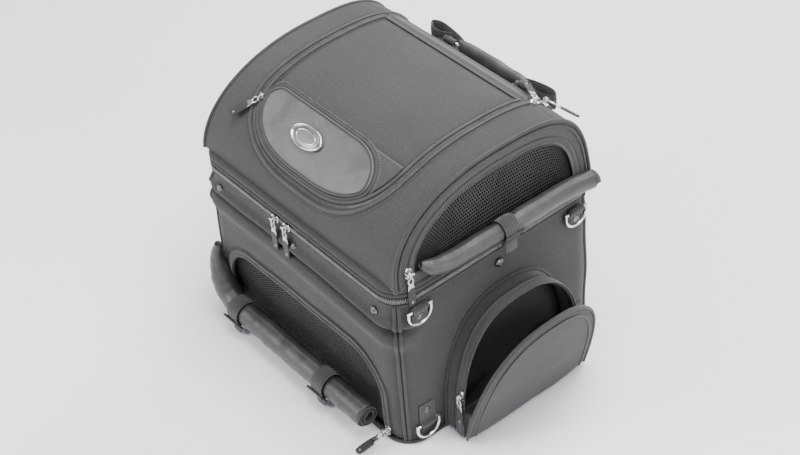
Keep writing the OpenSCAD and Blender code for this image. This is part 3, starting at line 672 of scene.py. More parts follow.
path, across, outward = arch_path(0.0, 0.0)
front_tape = sheet("front_tape", strip(path, across, outward, -0.001, -0.010, 0.0012, 0.0008),
                   tape_weave, inside_bag, thick=0.0008)
body_piece(front_tape, "zipper_tape", "front_window_zipper")
lines = [arch_path(0.0015, 0.0024), arch_path(0.0088, 0.0026), arch_path(0.0125, 0.0006)]
body_piece(links("front_coil", [(*lines[0], 0)], coil_nylon, 0.0024, (0.0040, 0.0015, 0.0018)),
           "zipper_tape")
body_piece(links("front_stitches", [(*lines[1], 0), (*lines[2], 0.3)], thread, stitch_pitch,
                 stitch_size), "zipper_tape")
edge_path = arch_path(-0.0006, 0.0008)
body_piece(rod("front_binding", edge_path[0], edge_path[2], 0.0016, 0.0020, piping_cover),
           "piping")

# ---- Front window's rolled flap ------------------------------------------------------------
# The window's flap is leatherette outside. It is rolled up on the ground in front of the bag
# and held by two buckled straps. Its left end curls back up to the window's corner.


def leatherette(name, level, roughness=0.42, coat=0.12):
    """Soft synthetic leather: fine pebbles, long soft creases, and a brighter rubbed crown."""
    made = Finish(name, Coat_Weight=coat, Coat_Roughness=0.35)
    pebbles = made.grain(950, kind="Voronoi", at=made.place())
    creases = made.grain(34, 5, Distortion=1.2)
    rubbed = made.grain(16, 2)
    made.wear(colour=made.tones(rubbed * 0.7 + creases * 0.3, (0.3, grey(level * 0.65)[:3]),
                                (0.72, grey(level * 1.45)[:3])),
              roughness=creases * 0.25 + roughness - 0.12)
    return made.emboss(pebbles * 0.25 + creases * 1.6, 0.0016, 0.5)


roll_leather = leatherette("roll_leather", 0.038)
roll_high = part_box("front_flap_roll")[1]
roll_r = (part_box("front_roll_straps")[1].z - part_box("front_roll_straps")[0].z) / 2 - 0.0019
roll_y = (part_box("front_roll_straps")[0].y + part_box("front_roll_straps")[1].y) / 2
roll_z = (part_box("front_roll_straps")[0].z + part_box("front_roll_straps")[1].z) / 2


def smooth_path(points, count):
    """A path through a few points, rounded by a cubic between each four neighbours."""
    p = np.vstack([2 * points[0] - points[1], points, 2 * points[-1] - points[-2]])
    t = np.linspace(0, len(points) - 1 - 1e-9, count)
    k, f = t.astype(int), (t % 1)[:, None]
    a, b, c, d = p[k], p[k + 1], p[k + 2], p[k + 3]
    return 0.5 * (2 * b + (c - a) * f + (2 * a - 5 * b + 4 * c - d) * f ** 2
                  + (3 * b - a - 3 * c + d) * f ** 3)


def rolled(name, path, radius, finish, seed, sides=56, grip=(), outward=(0, 0, 1)):
    """A rolled flap: a spiral of cloth whose outer turn ends in a small step, with creases
    that twist round it, a squeeze at each strap, and a wound spiral at both open ends."""
    travel, count = along(path), len(path)
    out = np.broadcast_to(np.asarray(outward, float), path.shape)
    out = unit(out - (out * travel).sum(1, keepdims=True) * travel)
    side = np.cross(travel, out)
    angle = np.linspace(0, 2 * math.pi, sides, endpoint=False)[None, :]
    run = np.append(0, np.cumsum(np.linalg.norm(np.diff(path, axis=0), axis=1)))[:, None]
    size = np.asarray(radius)[:, None] * np.ones((count, sides))
    wrap = (angle - 0.9) % (2 * math.pi) / (2 * math.pi)
    size = size * (0.93 + 0.07 * wrap)
    folds = ripple(run * 1.0, angle * 0.012 + run * 0.35, seed, 0.05) * 0.0011 \
        + ripple(run, angle * 0.004, seed + 1, 0.022) * 0.0007
    size = size * (1 + folds / 0.014)
    for place in grip:
        size = size * (1 - 0.10 * np.exp(-((run - place) / 0.016) ** 4))
    rings = path[:, None] + side[:, None] * (np.cos(angle) * size)[..., None] \
        + out[:, None] * (np.sin(angle) * size)[..., None]
    wind = [0.97, 0.72, 0.70, 0.46, 0.44, 0.2, 0.0]
    sink = [-0.0005, 0.0, -0.005, -0.004, -0.009, -0.008, -0.008]
    first = [path[0] + (rings[0] - path[0]) * w - travel[0] * k for w, k in zip(wind, sink)]
    last = [path[-1] + (rings[-1] - path[-1]) * w + travel[-1] * k for w, k in zip(wind, sink)]
    rings = np.concatenate([np.array(first[::-1]), rings, np.array(last)])
    faces, uv = quads(rings, loop_columns=True)
    return make(name, rings, faces, uv, finish)


def webbing(name, level):
    """Ribbed polyester webbing: ribs across it, and a lighter thread along both edges."""
    made = Finish(name, roughness=0.7, Sheen_Weight=0.25)
    u, v = made.cloth()
    ribs = (u * (2 * math.pi / 0.0017)).sine()
    cords = (v * (2 * math.pi / 0.0042)).sine()
    made.wear(colour=made.tones(ribs * 0.2 + cords * 0.18 + 0.5, (0.15, grey(level * 0.4)[:3]),
                                (0.85, grey(level * 1.8)[:3])))
    return made.emboss(ribs + cords, 0.0005, 0.7)


def band_of(path, outward, width, thick, finish, name):
    """A strap: a flat rounded section carried along a path, wide across it."""
    return rod(name, path, outward, width / 2, thick / 2, finish, sides=16)


ribbed_webbing = webbing("ribbed_webbing", 0.020)
strap_plastic = nylon("strap_plastic", 0.012)
right_end = roll_high.x - 0.012
route = smooth_path(np.array([
    (right_end, roll_y, roll_z), (0.06, roll_y, roll_z), (-0.06, roll_y, roll_z),
    (-0.130, roll_y, roll_z + 0.001), (-0.158, roll_y + 0.002, roll_z + 0.010),
    (-0.176, roll_y + 0.004, roll_z + 0.034), (-0.181, -0.1795, roll_z + 0.062),
    (-0.177, -0.1775, 0.122)]), 170)
size = np.interp(np.linspace(0, 1, 170), [0, 0.55, 0.7, 0.8, 0.93, 1],
                 [roll_r, roll_r, roll_r * 0.98, roll_r * 0.72, roll_r * 0.46, roll_r * 0.3])
strap_places = (-0.127, 0.062)
front_roll = rolled("front_roll", route, size, roll_leather, 11,
                    grip=[right_end - x for x in strap_places], outward=(0, -0.6, 0.8))
body_piece(front_roll, "leatherette", "front_flap_roll")


def wound_tape(start, travel, radius, turns, width=0.008):
    """The flap's zipper tape where it winds into the roll's end: a spiral band."""
    angle = np.linspace(0, turns * 2 * math.pi, 120)
    size = np.linspace(radius, radius * 0.42, 120)
    up, out = np.array((0, 0, 1.0)), unit(np.cross(travel, (0, 0, 1.0)))
    spoke = np.cos(angle)[:, None] * out + np.sin(angle)[:, None] * up
    path = np.asarray(start) + spoke * size[:, None]
    return strip(path, np.broadcast_to(travel, path.shape), spoke, 0, width, 0.0, 0.0, 4)


front_wound = sheet("front_wound_tape", wound_tape(
    (right_end - 0.004, roll_y, roll_z), np.array((1.0, 0, 0)), roll_r * 0.96, 2.2), tape_weave,
    (right_end, roll_y, roll_z), thick=0.001)
body_piece(front_wound, "zipper_tape")


def buckled(prefix, place, radius, tail_drop, body, nodes, along_axis=0, out_sign=-1):
    """A strap round a roll, with a plastic loop and its folded tail hanging from it. The roll
    runs along X, or along Y where along_axis is 1."""
    side = np.array((1.0, 0, 0)) if along_axis == 0 else np.array((0, 1.0, 0))
    out = np.array((0, -1.0, 0)) if along_axis == 0 else np.array((float(out_sign), 0, 0))
    up = np.array((0, 0, 1.0))
    place = np.asarray(place)
    angle = np.linspace(math.radians(-62), math.radians(150), 60)
    spoke = np.cos(angle)[:, None] * out + np.sin(angle)[:, None] * up
    loop = place + spoke * radius
    band_width = 0.024
    piece = band_of(loop, spoke, band_width, 0.0020, ribbed_webbing, prefix + "_band")
    foot = place + (math.cos(angle[0]) * out + math.sin(angle[0]) * up) * radius
    tail = smooth_path(np.array([foot + out * 0.0022 + up * 0.003, foot + out * 0.0035 - up * tail_drop * 0.4,
                                 foot + out * 0.003 - up * tail_drop]), 24)
    hang = band_of(tail, np.broadcast_to(out, tail.shape), band_width * 0.8, 0.0024, ribbed_webbing,
                   prefix + "_tail")
    half = band_width / 2 + 0.003
    square = np.array([(-half, -0.0065), (half, -0.0065), (half, 0.0065), (-half, 0.0065)])
    ring = np.concatenate([np.linspace(square[k], square[(k + 1) % 4], 9)[:-1] for k in range(4)])
    mid = place + (math.cos(-0.55) * out + math.sin(-0.55) * up) * (radius + 0.0022)
    tilt = -math.sin(-0.55) * out + math.cos(-0.55) * up
    frame_path = mid + ring[:, :1] * side + ring[:, 1:] * tilt
    facing = math.cos(-0.55) * out + math.sin(-0.55) * up
    keeper = rod(prefix + "_loop", frame_path, facing, 0.0017, 0.0017, strap_plastic, sides=8, loop=True)
    body_piece(piece, "webbing", *nodes, body=body)
    body_piece(hang, "webbing", body=body)
    body_piece(keeper, "board_plastic", body=body)


for number, x in enumerate(strap_places):
    buckled(f"front_strap_{number + 1}", (x, roll_y, roll_z), roll_r + 0.0010, 0.016, "bag_body",
            ["front_roll_straps"] if number == 0 else [])

# ---- Side pockets --------------------------------------------------------------------------
# Each pocket is a deep gusset sewn to the wall and closed by a padded panel with a coil
# zipper. The right panel is unzipped and leans out, which shows the mesh lining.
gusset_low, gusset_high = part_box("right_pocket_gusset")
pocket_half = (gusset_high.y - gusset_low.y) / 2
pocket_mid = (gusset_high.y + gusset_low.y) / 2
pocket_foot, pocket_tall = gusset_low.z, gusset_high.z - gusset_low.z
pocket_round = 2.6
hinge_x, hinge_z = gusset_high.x + 0.002, pocket_foot + 0.002
right_open = math.radians(16)


def pocket_line(angle, inset):
    """The pocket's outline in Y and Z: half a superellipse that stands on its base."""
    c, s = np.cos(angle), np.sin(angle)
    y = pocket_mid - (pocket_half - inset) * np.sign(c) * np.abs(c) ** (2 / pocket_round)
    z = pocket_foot + inset * 0.3 + (pocket_tall - inset * 1.3) * np.abs(s) ** (2 / pocket_round)
    return y, z


def leaning(points, side, angle):
    """Turns points about the pocket's bottom hinge by an angle, then mirrors them for the
    left side."""
    c, s = math.cos(angle), math.sin(angle)
    x, z = points[..., 0] - hinge_x, points[..., 2] - hinge_z
    moved = np.stack([(hinge_x + x * c + z * s) * side, points[..., 1], hinge_z - x * s + z * c], -1)
    return moved


def even_angles(count):
    """Angles that space the outline's points evenly."""
    fine = np.linspace(0, math.pi, 1500)
    y, z = pocket_line(fine, 0)
    run = np.append(0, np.cumsum(np.hypot(np.diff(y), np.diff(z))))
    return np.interp(np.linspace(0, run[-1], count), run, fine)


def twill(name, level):
    """Twill gusset cloth: fine diagonal ribs."""
    made = Finish(name, roughness=0.8, Sheen_Weight=0.3)
    u, v = made.cloth()
    ribs = ((u + v) * (2 * math.pi / 0.0020)).sine()
    slubs = made.grain(240, 4)
    made.wear(colour=made.tones(ribs * 0.15 + slubs * 0.7 + 0.1, (0.2, grey(level * 0.5)[:3]),
                                (0.8, grey(level * 1.7)[:3])))
    return made.emboss(ribs * 0.7 + slubs, 0.0006, 0.5)


gusset_twill = twill("gusset_twill", 0.022)
outline_angles = even_angles(150)
panel_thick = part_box("left_pocket_panel")[1].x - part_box("left_pocket_panel")[0].x
for side, name in ((1, "right"), (-1, "left")):
    y, z = pocket_line(outline_angles, 0)
    depth = np.linspace(half_w + 0.002, gusset_high.x - 0.0005, 14)[:, None]
    pinch = 0.0022 * np.sin((depth - half_w) / 0.038 * math.pi) * (1 + 0 * y)
    curve = np.stack([depth + 0 * y, pocket_mid + (y - pocket_mid) * (1 - pinch / pocket_half),
                      pocket_foot + (z - pocket_foot) * (1 - pinch / pocket_tall)], -1)
    outer = curve * (side, 1, 1)
    middle = (side * (half_w + 0.02), pocket_mid, pocket_foot + pocket_tall * 0.35)
    gusset = sheet(f"{name}_gusset", outer, gusset_twill, middle, thick=0.002)
    body_piece(gusset, "body_fabric", f"{name}_pocket_gusset")
    inner_y, inner_z = pocket_line(outline_angles, 0.0036)
    lining = np.stack([depth * side + 0 * inner_y, inner_y + 0 * depth, inner_z + 0 * depth], -1)
    back_rows = np.linspace(1, 0, 14)[:, None]
    floor_y = pocket_mid + (inner_y - pocket_mid) * back_rows
    floor_z = pocket_foot + 0.05 + (inner_z - pocket_foot - 0.05) * back_rows
    backing = np.stack([0 * floor_y + side * (half_w + 0.0025), floor_y, floor_z], -1)
    inner = make(f"{name}_pocket_lining", *(lambda g: (g, *quads(g)))(
        np.concatenate([lining[::-1], backing])), black_mesh, middle)
    for polygon in inner.data.polygons:
        polygon.flip()
    body_piece(inner, "mesh")
    wall_y, wall_z = pocket_line(outline_angles, -0.0012)
    foot_line = np.column_stack([0 * wall_y + side * (half_w + 0.0045), wall_y, wall_z])
    body_piece(rod(f"{name}_gusset_welt", foot_line, (side, 0, 0), 0.0022, 0.0022, piping_cover),
               "piping")
    rim_y, rim_z = pocket_line(outline_angles, -0.0006)
    rim = np.column_stack([0 * rim_y + side * (gusset_high.x - 0.009), rim_y, rim_z])
    spread = np.cross(along(rim), (side, 0, 0))
    body_piece(sheet(f"{name}_gusset_tape", strip(rim, np.broadcast_to((side, 0, 0.0), rim.shape),
                     spread * np.sign((spread * (rim - middle)).sum()), -0.004, 0.0085, 0.0006, 0.0006),
                     tape_weave, middle, thick=0.0008), "zipper_tape")
    edge = rim + np.array((side * 0.0095, 0, 0))
    outwards = spread * np.sign((spread * (rim - middle)).sum())
    body_piece(links(f"{name}_gusset_coil", [(edge, (side, 0, 0.0), outwards, 0)], coil_nylon,
                     0.0024, (0.0030, 0.0015, 0.0020)), "zipper_tape")
    rows = [(rim + np.array((side * d, 0, 0)) + outwards * 0.0010, outwards, outwards, 0.2)
            for d in (-0.0065, 0.0015)]
    body_piece(links(f"{name}_gusset_stitches", rows, thread, stitch_pitch, stitch_size),
               "zipper_tape")

    def crown(p, base, rise):
        """Height of the panel's face: fullest in the middle, with a shallow sag at the top."""
        reach = np.abs((p[..., 1] - pocket_mid) / pocket_half) ** 2.6 \
            + np.abs((p[..., 2] - pocket_foot) / pocket_tall) ** 2.6
        wrinkle = 0.0012 * ripple(p[..., 1], p[..., 2], 21, 0.09)
        return base + (rise + wrinkle) * np.clip(1 - reach, 0, 1) ** 0.6

    floor_x, floor_y = np.meshgrid(np.linspace(half_w + 0.002, hinge_x + 0.0005, 14),
                                   np.linspace(-1, 1, 60) * (pocket_half - 0.002) + pocket_mid,
                                   indexing="ij")
    floor_grid = np.stack([floor_x * side, floor_y, 0 * floor_x + pocket_foot + 0.0012], -1)
    ground = body_piece(sheet(f"{name}_pocket_floor", floor_grid, gusset_twill, middle, thick=0.001),
                        "body_fabric")
    if side == 1:
        share, high = np.meshgrid(np.linspace(0, 1, 12), np.linspace(0.02, 1, 14), indexing="ij")
        wedges = []
        for end in (1, -1):
            y = pocket_mid + end * (pocket_half - 0.0016 - 0.004 * np.sin(share * math.pi) * high)
            reach = 0.042 * high
            wedges.append(np.stack([hinge_x - 0.0004 + reach * np.sin(share * right_open), y,
                                    hinge_z + reach * np.cos(share * right_open)], -1))
        wedge = sheet("right_pocket_wedges", wedges, gusset_twill, middle, thick=0.0008)
        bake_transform(wedge)
    base_y = np.linspace(pocket_mid + pocket_half - 0.002, pocket_mid - pocket_half + 0.002, 60)[1:-1]
    py, pz = pocket_line(outline_angles, 0.0015)
    ring = np.column_stack([0 * py, py, pz])
    ring = np.vstack([ring, np.column_stack([0 * base_y, base_y, 0 * base_y + pocket_foot + 0.001])])
    faces_x = [hinge_x + 0.0012, hinge_x + panel_thick * 0.52]
    shell = pad_rings(
        ring, lambda p: np.stack([crown(p, faces_x[0], 0.0), p[..., 1], p[..., 2]], -1),
        lambda p: np.stack([crown(p, faces_x[1], 0.0045), p[..., 1], p[..., 2]], -1), steps=16)
    angle = right_open if side == 1 else 0.0
    shell = leaning(shell, side, angle)
    faces, uv = quads(shell, loop_columns=True)
    body = f"{name}_pocket_panel"
    panel = make(f"{name}_pocket_pad", shell, faces, uv, body_cloth)
    flesh = panel.modifiers.new("roundness", "SUBSURF")
    flesh.levels = flesh.render_levels = 1
    body_piece(panel, "body_fabric", f"{name}_pocket_panel", body=body)
    for part, inset, x, wide in (("binding", 0.0, faces_x[1] - 0.0006, 0.0021),
                                 ("inner_binding", 0.0115, faces_x[1] + 0.0019, 0.0015)):
        cy, cz = pocket_line(outline_angles, inset)
        cord = leaning(np.column_stack([0 * cy + x, cy, cz]), side, angle)
        body_piece(rod(f"{name}_pocket_{part}", cord, (side, 0, 0), wide, wide, piping_cover),
                   "piping", body=body)
    ey, ez = pocket_line(outline_angles, 0.0008)
    zip_edge = leaning(np.column_stack([0 * ey + hinge_x + 0.0012, ey, ez]), side, angle)
    outs = np.cross(along(zip_edge), (side, 0, 0))
    outs *= np.sign((outs * (zip_edge - zip_edge.mean(0))).sum())
    body_piece(links(f"{name}_panel_coil", [(zip_edge, (side, 0, 0.0), outs, 0.5)], coil_nylon,
                     0.0024, (0.0030, 0.0015, 0.0020)), "zipper_tape", body=body)
    hem = np.stack(np.meshgrid(np.linspace(pocket_mid - pocket_half + 0.006,
                                           pocket_mid + pocket_half - 0.006, 40),
                               np.linspace(-0.007, 0.004, 9), indexing="ij"), -1)
    hem = np.stack([(hinge_x + hem[..., 1]) * side, hem[..., 0],
                    pocket_foot - 0.0006 + 0 * hem[..., 0]], -1)
    fold = sheet(f"{name}_pocket_fold", hem, gusset_twill, (side * hinge_x, 0, 0.1), thick=0.001)
    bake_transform(fold)

# ---- D-rings, rivets and snaps -------------------------------------------------------------
# Eight bright D-rings hang from webbing that is folded round their bars and riveted to the
# sides. Five snap studs sit in a row under the main zipper.


def plated(name, level, roughness):
    """Bright plating over a die casting: clear reflections with faint hazy handling marks."""
    made = Finish(name, metallic=1.0)
    haze = made.grain(70, 4)
    made.wear(colour=made.tones(haze, (0.3, grey(level * 0.82)[:3]), (0.7, grey(level)[:3])),
              roughness=haze * 0.18 + roughness)
    return made.emboss(made.grain(500, 2), 0.00004, 0.2)


chrome = plated("bright_chrome", 0.82, 0.08)
dark_nickel = plated("dark_nickel", 0.16, 0.25)


def recoat(name, finish, rounding=0.0):
    """Gives a carried-over metal part its finish and softly rounded edges."""
    part = frame["nodes"][name]
    part.data.materials.clear()
    part.data.materials.append(finish)
    if rounding:
        merge = part.modifiers.new("merge", "WELD")
        merge.merge_threshold = 0.00001
        bevel = part.modifiers.new("rounding", "BEVEL")
        bevel.width, bevel.segments, bevel.limit_method = rounding, 2, "ANGLE"
        bevel.harden_normals = True


def turned(places, profile, count=28):
    """Turned parts: a profile of radius and height swung round an axis at each place."""
    grids = []
    angle = np.linspace(0, 2 * math.pi, count, endpoint=False)
    for place, out in places:
        out = unit(np.asarray(out, float))
        side = unit(np.cross(out, (0.3, 0.2, 1.0)))
        other = np.cross(out, side)
        spoke = np.cos(angle)[:, None] * side + np.sin(angle)[:, None] * other
        grids.append(np.array([np.asarray(place) + spoke * r + out * h for r, h in profile]))
    return grids


def turned_piece(name, places, profile, finish):
    points, faces, uvs, count = [], [], [], 0
    for grid in turned(places, profile):
        f, uv = quads(grid, loop_columns=True)
        points.append(grid.reshape(-1, 3))
        faces.append(f + count)
        uvs.append(uv)
        count += grid.shape[0] * grid.shape[1]
    return make(name, np.vstack(points), np.vstack(faces), np.vstack(uvs), finish)


ring_nodes = [n for n in frame["nodes"] if n.startswith("d_ring_") and n != "d_ring_tabs"]
tab_paths, tab_outs, tab_edges, rivets = [], [], [], []
bar_gap = 0.005
for node in sorted(ring_nodes):
    recoat(node, chrome)
    low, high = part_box(node)
    side = 1 if low.x > 0 else -1
    bar_z = high.z - 0.0022
    mid_y = (low.y + high.y) / 2
    down = -1 if "upper" in node else 1
    reach = 0.024 if down < 0 else 0.036
    swing = np.linspace(0, 1.35 * math.pi, 22)
    around_x = half_w + bar_gap - 0.0038 * np.cos(swing)
    around_z = bar_z - down * 0.0038 * np.sin(swing)
    first = np.linspace(bar_z + down * reach, bar_z + down * 0.002, 10)
    last = np.linspace(bar_z + down * 0.006, bar_z + down * (reach - 0.001), 12)
    lead = half_w + 0.0012
    path_x = np.concatenate([0 * first + lead, around_x[1:], 0 * last + half_w + 0.0036])
    path_z = np.concatenate([first, around_z[1:], last])
    path = np.column_stack([path_x * side, 0 * path_x + mid_y, path_z])
    path = np.column_stack([np.convolve(np.pad(path[:, k], 1, "edge"), (0.25, 0.5, 0.25), "valid")
                            for k in range(3)])
    outs = np.cross(along(path), (0, 1.0, 0))
    tab_paths.append(path)
    tab_outs.append(outs)
    rivet_z = bar_z + down * (reach / 2 + (0.002 if down < 0 else 0.003))
    rivets.append(((side * (half_w + 0.0044), mid_y, rivet_z), (side, 0, 0)))
    box_y = np.array([-0.009, 0.009, 0.009, -0.009, -0.009])
    box_z = np.array([-0.0075, -0.0075, 0.0075, 0.0075, -0.0075])
    turns = [np.linspace(0, 1, 12)] * 4
    sy = np.concatenate([box_y[k] + (box_y[k + 1] - box_y[k]) * turns[0] for k in range(4)])
    sz = np.concatenate([box_z[k] + (box_z[k + 1] - box_z[k]) * turns[0] for k in range(4)])
    edge = np.column_stack([0 * sy + side * (half_w + 0.0048), mid_y + sy, rivet_z + sz])
    tab_edges.append((edge, np.cross(along(edge), (side, 0, 0)), np.array((side, 0, 0.0)) + 0 * edge, 0))
tabs = rod("ring_tabs", tab_paths, tab_outs, 0.0125, 0.0011, ribbed_webbing, sides=16)
body_piece(tabs, "webbing", "d_ring_tabs")
body_piece(links("tab_stitches", tab_edges, thread, 0.0032, stitch_size), "webbing")
dome = [(0.0, -0.0008), (0.0046, -0.0008), (0.0052, 0.0002), (0.0050, 0.0009), (0.0042, 0.0014),
        (0.0034, 0.0011), (0.0028, 0.0012), (0.0015, 0.0016), (0.0, 0.0017)]
body_piece(turned_piece("rivets", rivets, dome, dark_nickel), "rivet_metal", "rivets_and_studs")
stud = [(0.0, -0.001), (0.0060, -0.001), (0.0063, 0.0008), (0.0056, 0.0016), (0.0040, 0.0018),
        (0.0032, 0.0028), (0.0026, 0.0036), (0.0012, 0.0036), (0.0008, 0.0030), (0.0, 0.0030)]
stud_z = zip_z - 0.027
studs = [((x, -half_d - 0.0030, stud_z), (0, -1, 0)) for x in (-0.162, 0.0, 0.162)]
studs += [((side * (half_w + 0.003), 0, stud_z), (side, 0, 0)) for side in (1, -1)]
body_piece(turned_piece("snap_studs", studs, stud, dark_nickel), "rivet_metal")

# ---- Main zipper and the lid's rim ---------------------------------------------------------
# A heavy coil zipper joins body and lid round the front and both sides. Above it the rim is
# a welted band with two corded ridges, and at the back it is the lid's cloth hinge.
rim_low, rim_top = zip_z + 0.006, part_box("lid_rim")[1].z
# Painted light: the main zipper's coil is coloured twice as light as the other coils (0.13 against 0.065), so
# that it reads in the shade under the lid's rim.
main_coil_painted_light = nylon("main_coil_painted_light", 0.13)
zip_s = np.linspace(-seam_back + 0.01, seam_back - 0.01, 520)
zip_flat, zip_out = plan_at(zip_s)
out3 = np.column_stack([zip_out, 0 * zip_s])
up3 = np.array((0, 0, 1.0)) + 0 * out3
for name, sign, body, slot_node in (("lower", -1, "bag_body", "main_zipper_lower"),
                                    ("upper", 1, "lid", "main_zipper_upper")):
    base = np.column_stack([zip_flat, 0 * zip_s + zip_z])
    tape = strip(base, up3, out3, sign * 0.0004, sign * 0.0072, -0.0006, 0.0005)
    body_piece(sheet(f"main_tape_{name}", tape, tape_weave, inside_bag, thick=0.0008),
               "zipper_tape", slot_node, body=body)
    line = base + up3 * sign * 0.0015 + out3 * 0.0022
    body_piece(links(f"main_coil_painted_light_{name}", [(line, up3, out3, 0.5 * (sign > 0))], main_coil_painted_light, 0.0030,
                     (0.0048, 0.0017, 0.0022)), "zipper_tape", body=body)
    cord_line = base + up3 * sign * 0.0078 + out3 * 0.0004
    body_piece(rod(f"main_welt_{name}", cord_line, out3, 0.0017, 0.0017, piping_cover), "piping",
               body=body)

rim_s = np.linspace(-back_middle, back_middle, 561)[:-1]
rim_z = np.linspace(rim_low + 0.001, rim_top, 25)
rim_lift = 0.0006 + 0.0026 * np.abs(np.sin((rim_z - rim_low) / (rim_top - rim_low) * 2 * math.pi)) ** 0.7
rim_z = np.concatenate([[rim_low + 0.001], rim_z, [rim_top + 0.0004, rim_top + 0.0004]])
rim_lift = np.concatenate([[-0.002], rim_lift, [-0.005, -0.014]])
flat, out = plan_at(rim_s)
rim_grid = np.concatenate([flat[:, None] + out[:, None] * rim_lift[:, None],
                           np.broadcast_to(rim_z[:, None], (560, len(rim_z), 1))], -1)
rim = sheet("lid_rim_band", rim_grid, body_cloth, (0, 0, 0.2), thick=0.0015, loop_rows=True)
body_piece(rim, "body_fabric", "lid_rim", body="lid")
hinge_s = np.concatenate([np.linspace(seam_back - 0.004, back_middle, 60)])
hinge_z = np.linspace(zip_z - 0.013, zip_z + 0.014, 25)
hinge_half = []
for sign in (1, -1):
    f, o = plan_at(sign * hinge_s)
    lift = 0.0030 + 0.0012 * np.cos((hinge_z - zip_z) / 0.0135 * math.pi / 2)
    hinge_half.append(np.concatenate([f[:, None] + o[:, None] * lift[:, None],
                                      np.broadcast_to(hinge_z[:, None], (60, 25, 1))], -1))
lid_hinge = sheet("lid_hinge_cloth", hinge_half, gusset_twill, (0, 0, 0.2), thick=0.0015)
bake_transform(lid_hinge)

# ---- Lid -----------------------------------------------------------------------------------
# The lid is one cloth curved from front to back over two arched ends that lean out at the
# foot. A piped seam runs along both arches, and the middle is cut out for the top flap.
crown_z, crown_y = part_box("lid_shell")[1].z, 0.020
lid_front, lid_back = -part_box("lid_shell")[0].y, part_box("lid_shell")[1].y
end_x, crown_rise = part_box("lid_shell")[1].x, crown_z - rim_top
front_round, back_round = 2.15, 3.1
flap_half, flap_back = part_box("top_flap")[1].x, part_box("top_flap")[1].y
flap_reach = lid_front - 0.012
flap_shoulder, flap_round, zip_gap = flap_reach - 0.088, 3.2, 0.004


def lid_profile(a, inset=0.0):
    """The lid's curve from the front foot (angle 0) over the crown to the back foot (pi):
    two half superellipses of different roundness, moved in by an inset."""
    c, s = np.cos(a), np.clip(np.sin(a), 0, 1)
    front = a < math.pi / 2
    power = np.where(front, 2 / front_round, 2 / back_round)
    reach = np.where(front, lid_front + crown_y, lid_back - crown_y) - inset
    y = crown_y - np.sign(c) * reach * np.abs(c) ** power
    return y, rim_top + (crown_rise - inset) * s ** power


def angle_at(y):
    """The profile's angle at a distance y from front to back."""
    near = np.clip((crown_y - y) / (lid_front + crown_y), 0, 1) ** (front_round / 2)
    far = np.clip((y - crown_y) / (lid_back - crown_y), 0, 1) ** (back_round / 2)
    return np.where(y < crown_y, np.arccos(near), math.pi - np.arccos(far))


def end_lean(z):
    """How far an end stands out at a height: upright at the crown, flared at the foot."""
    return end_x + 0.012 * np.clip(1 - (z - rim_top) / crown_rise, 0, 1) ** 1.8


def lid_point(x, a, lift=0.0):
    """A point of the lid at a width x and an angle a, moved out along the curve's normal."""
    y, z = lid_profile(a)
    step = 0.01
    y0, z0 = lid_profile(np.clip(a - step, 1e-4, math.pi))
    y1, z1 = lid_profile(np.clip(a + step, 0, math.pi - 1e-4))
    length = np.maximum(np.hypot(y1 - y0, z1 - z0), 1e-9)
    ny, nz = -(z1 - z0) / length, (y1 - y0) / length
    return np.stack([x + 0 * y, y + ny * lift, z + nz * lift], -1)


def lid_slack(x, a):
    """Puffiness of the lid's cloth: full over the front slope, tight along the seams."""
    side = np.clip((end_x - np.abs(x)) / 0.05, 0, 1) ** 0.6
    foot = np.clip(np.minimum(a, math.pi - a) / 0.35, 0, 1)
    return (0.0022 + 0.0011 * ripple(x, a * 0.16, 5, 0.14)) * side * foot


def flap_line(count, grow=0.0, back=None):
    """The flap's edge in X and Y: back along the right side, round the front in half a
    superellipse, and back along the left side. It grows less where it lies on the steep front."""
    back = flap_back if back is None else back
    bend = np.linspace(0, math.pi, 2001)
    c, s = np.cos(bend), np.sin(bend)
    x = (flap_half + grow) * np.sign(c) * np.abs(c) ** (2 / flap_round)
    y = -flap_shoulder - (flap_reach - flap_shoulder + grow * 0.6) * s ** (2 / flap_round)
    x = np.concatenate([[flap_half + grow], x, [-flap_half - grow]])
    y = np.concatenate([[back], y, [back]])
    run = np.append(0, np.cumsum(np.hypot(np.diff(x), np.diff(y))))
    t = np.linspace(0, run[-1], count)
    return np.interp(t, run, x), np.interp(t, run, y)


inside_lid = (0, 0, 0.25)
count = 260
edge_x, edge_y = flap_line(count, zip_gap)
edge_a = angle_at(edge_y)
t = np.linspace(0, 1, count)
turn_at = 0.335
back_a = float(angle_at(np.array(flap_back)))
outer_a = np.interp(t, [0, turn_at, 1 - turn_at, 1], [back_a, 0, 0, back_a])
outer_x = np.interp(t, [0, turn_at, 1 - turn_at, 1], [1, 1, -1, -1]) * end_lean(lid_profile(outer_a)[1])
share = np.linspace(0, 1, 30)[:, None]
band_x, band_a = edge_x + (outer_x - edge_x) * share, edge_a + (outer_a - edge_a) * share
band = lid_point(band_x, band_a, lid_slack(band_x, band_a))
rear_a = np.linspace(back_a, math.pi, 34)[:, None]
rear_x = np.linspace(-1, 1, 120) * end_lean(lid_profile(rear_a)[1])
rear = lid_point(rear_x, rear_a + 0 * rear_x, lid_slack(rear_x, rear_a + 0 * rear_x))
lid_cover = sheet("lid_cover", [band, rear], body_cloth, inside_lid, thick=0.003)
body_piece(lid_cover, "body_fabric", "lid_shell", body="lid")

# ---- Lid ends with mesh windows ------------------------------------------------------------
# Each arched end is twill round a mesh window with a coil zipper. The seam to the lid's cloth
# is corded twice.
band_width, sill_z = 0.027, rim_top + 0.012
arch_a = np.linspace(0.0, math.pi, 3001)
run_y, run_z = lid_profile(arch_a)
run = np.append(0, np.cumsum(np.hypot(np.diff(run_y), np.diff(run_z))))
arch_even = np.interp(np.linspace(0, run[-1], 200), run, arch_a)


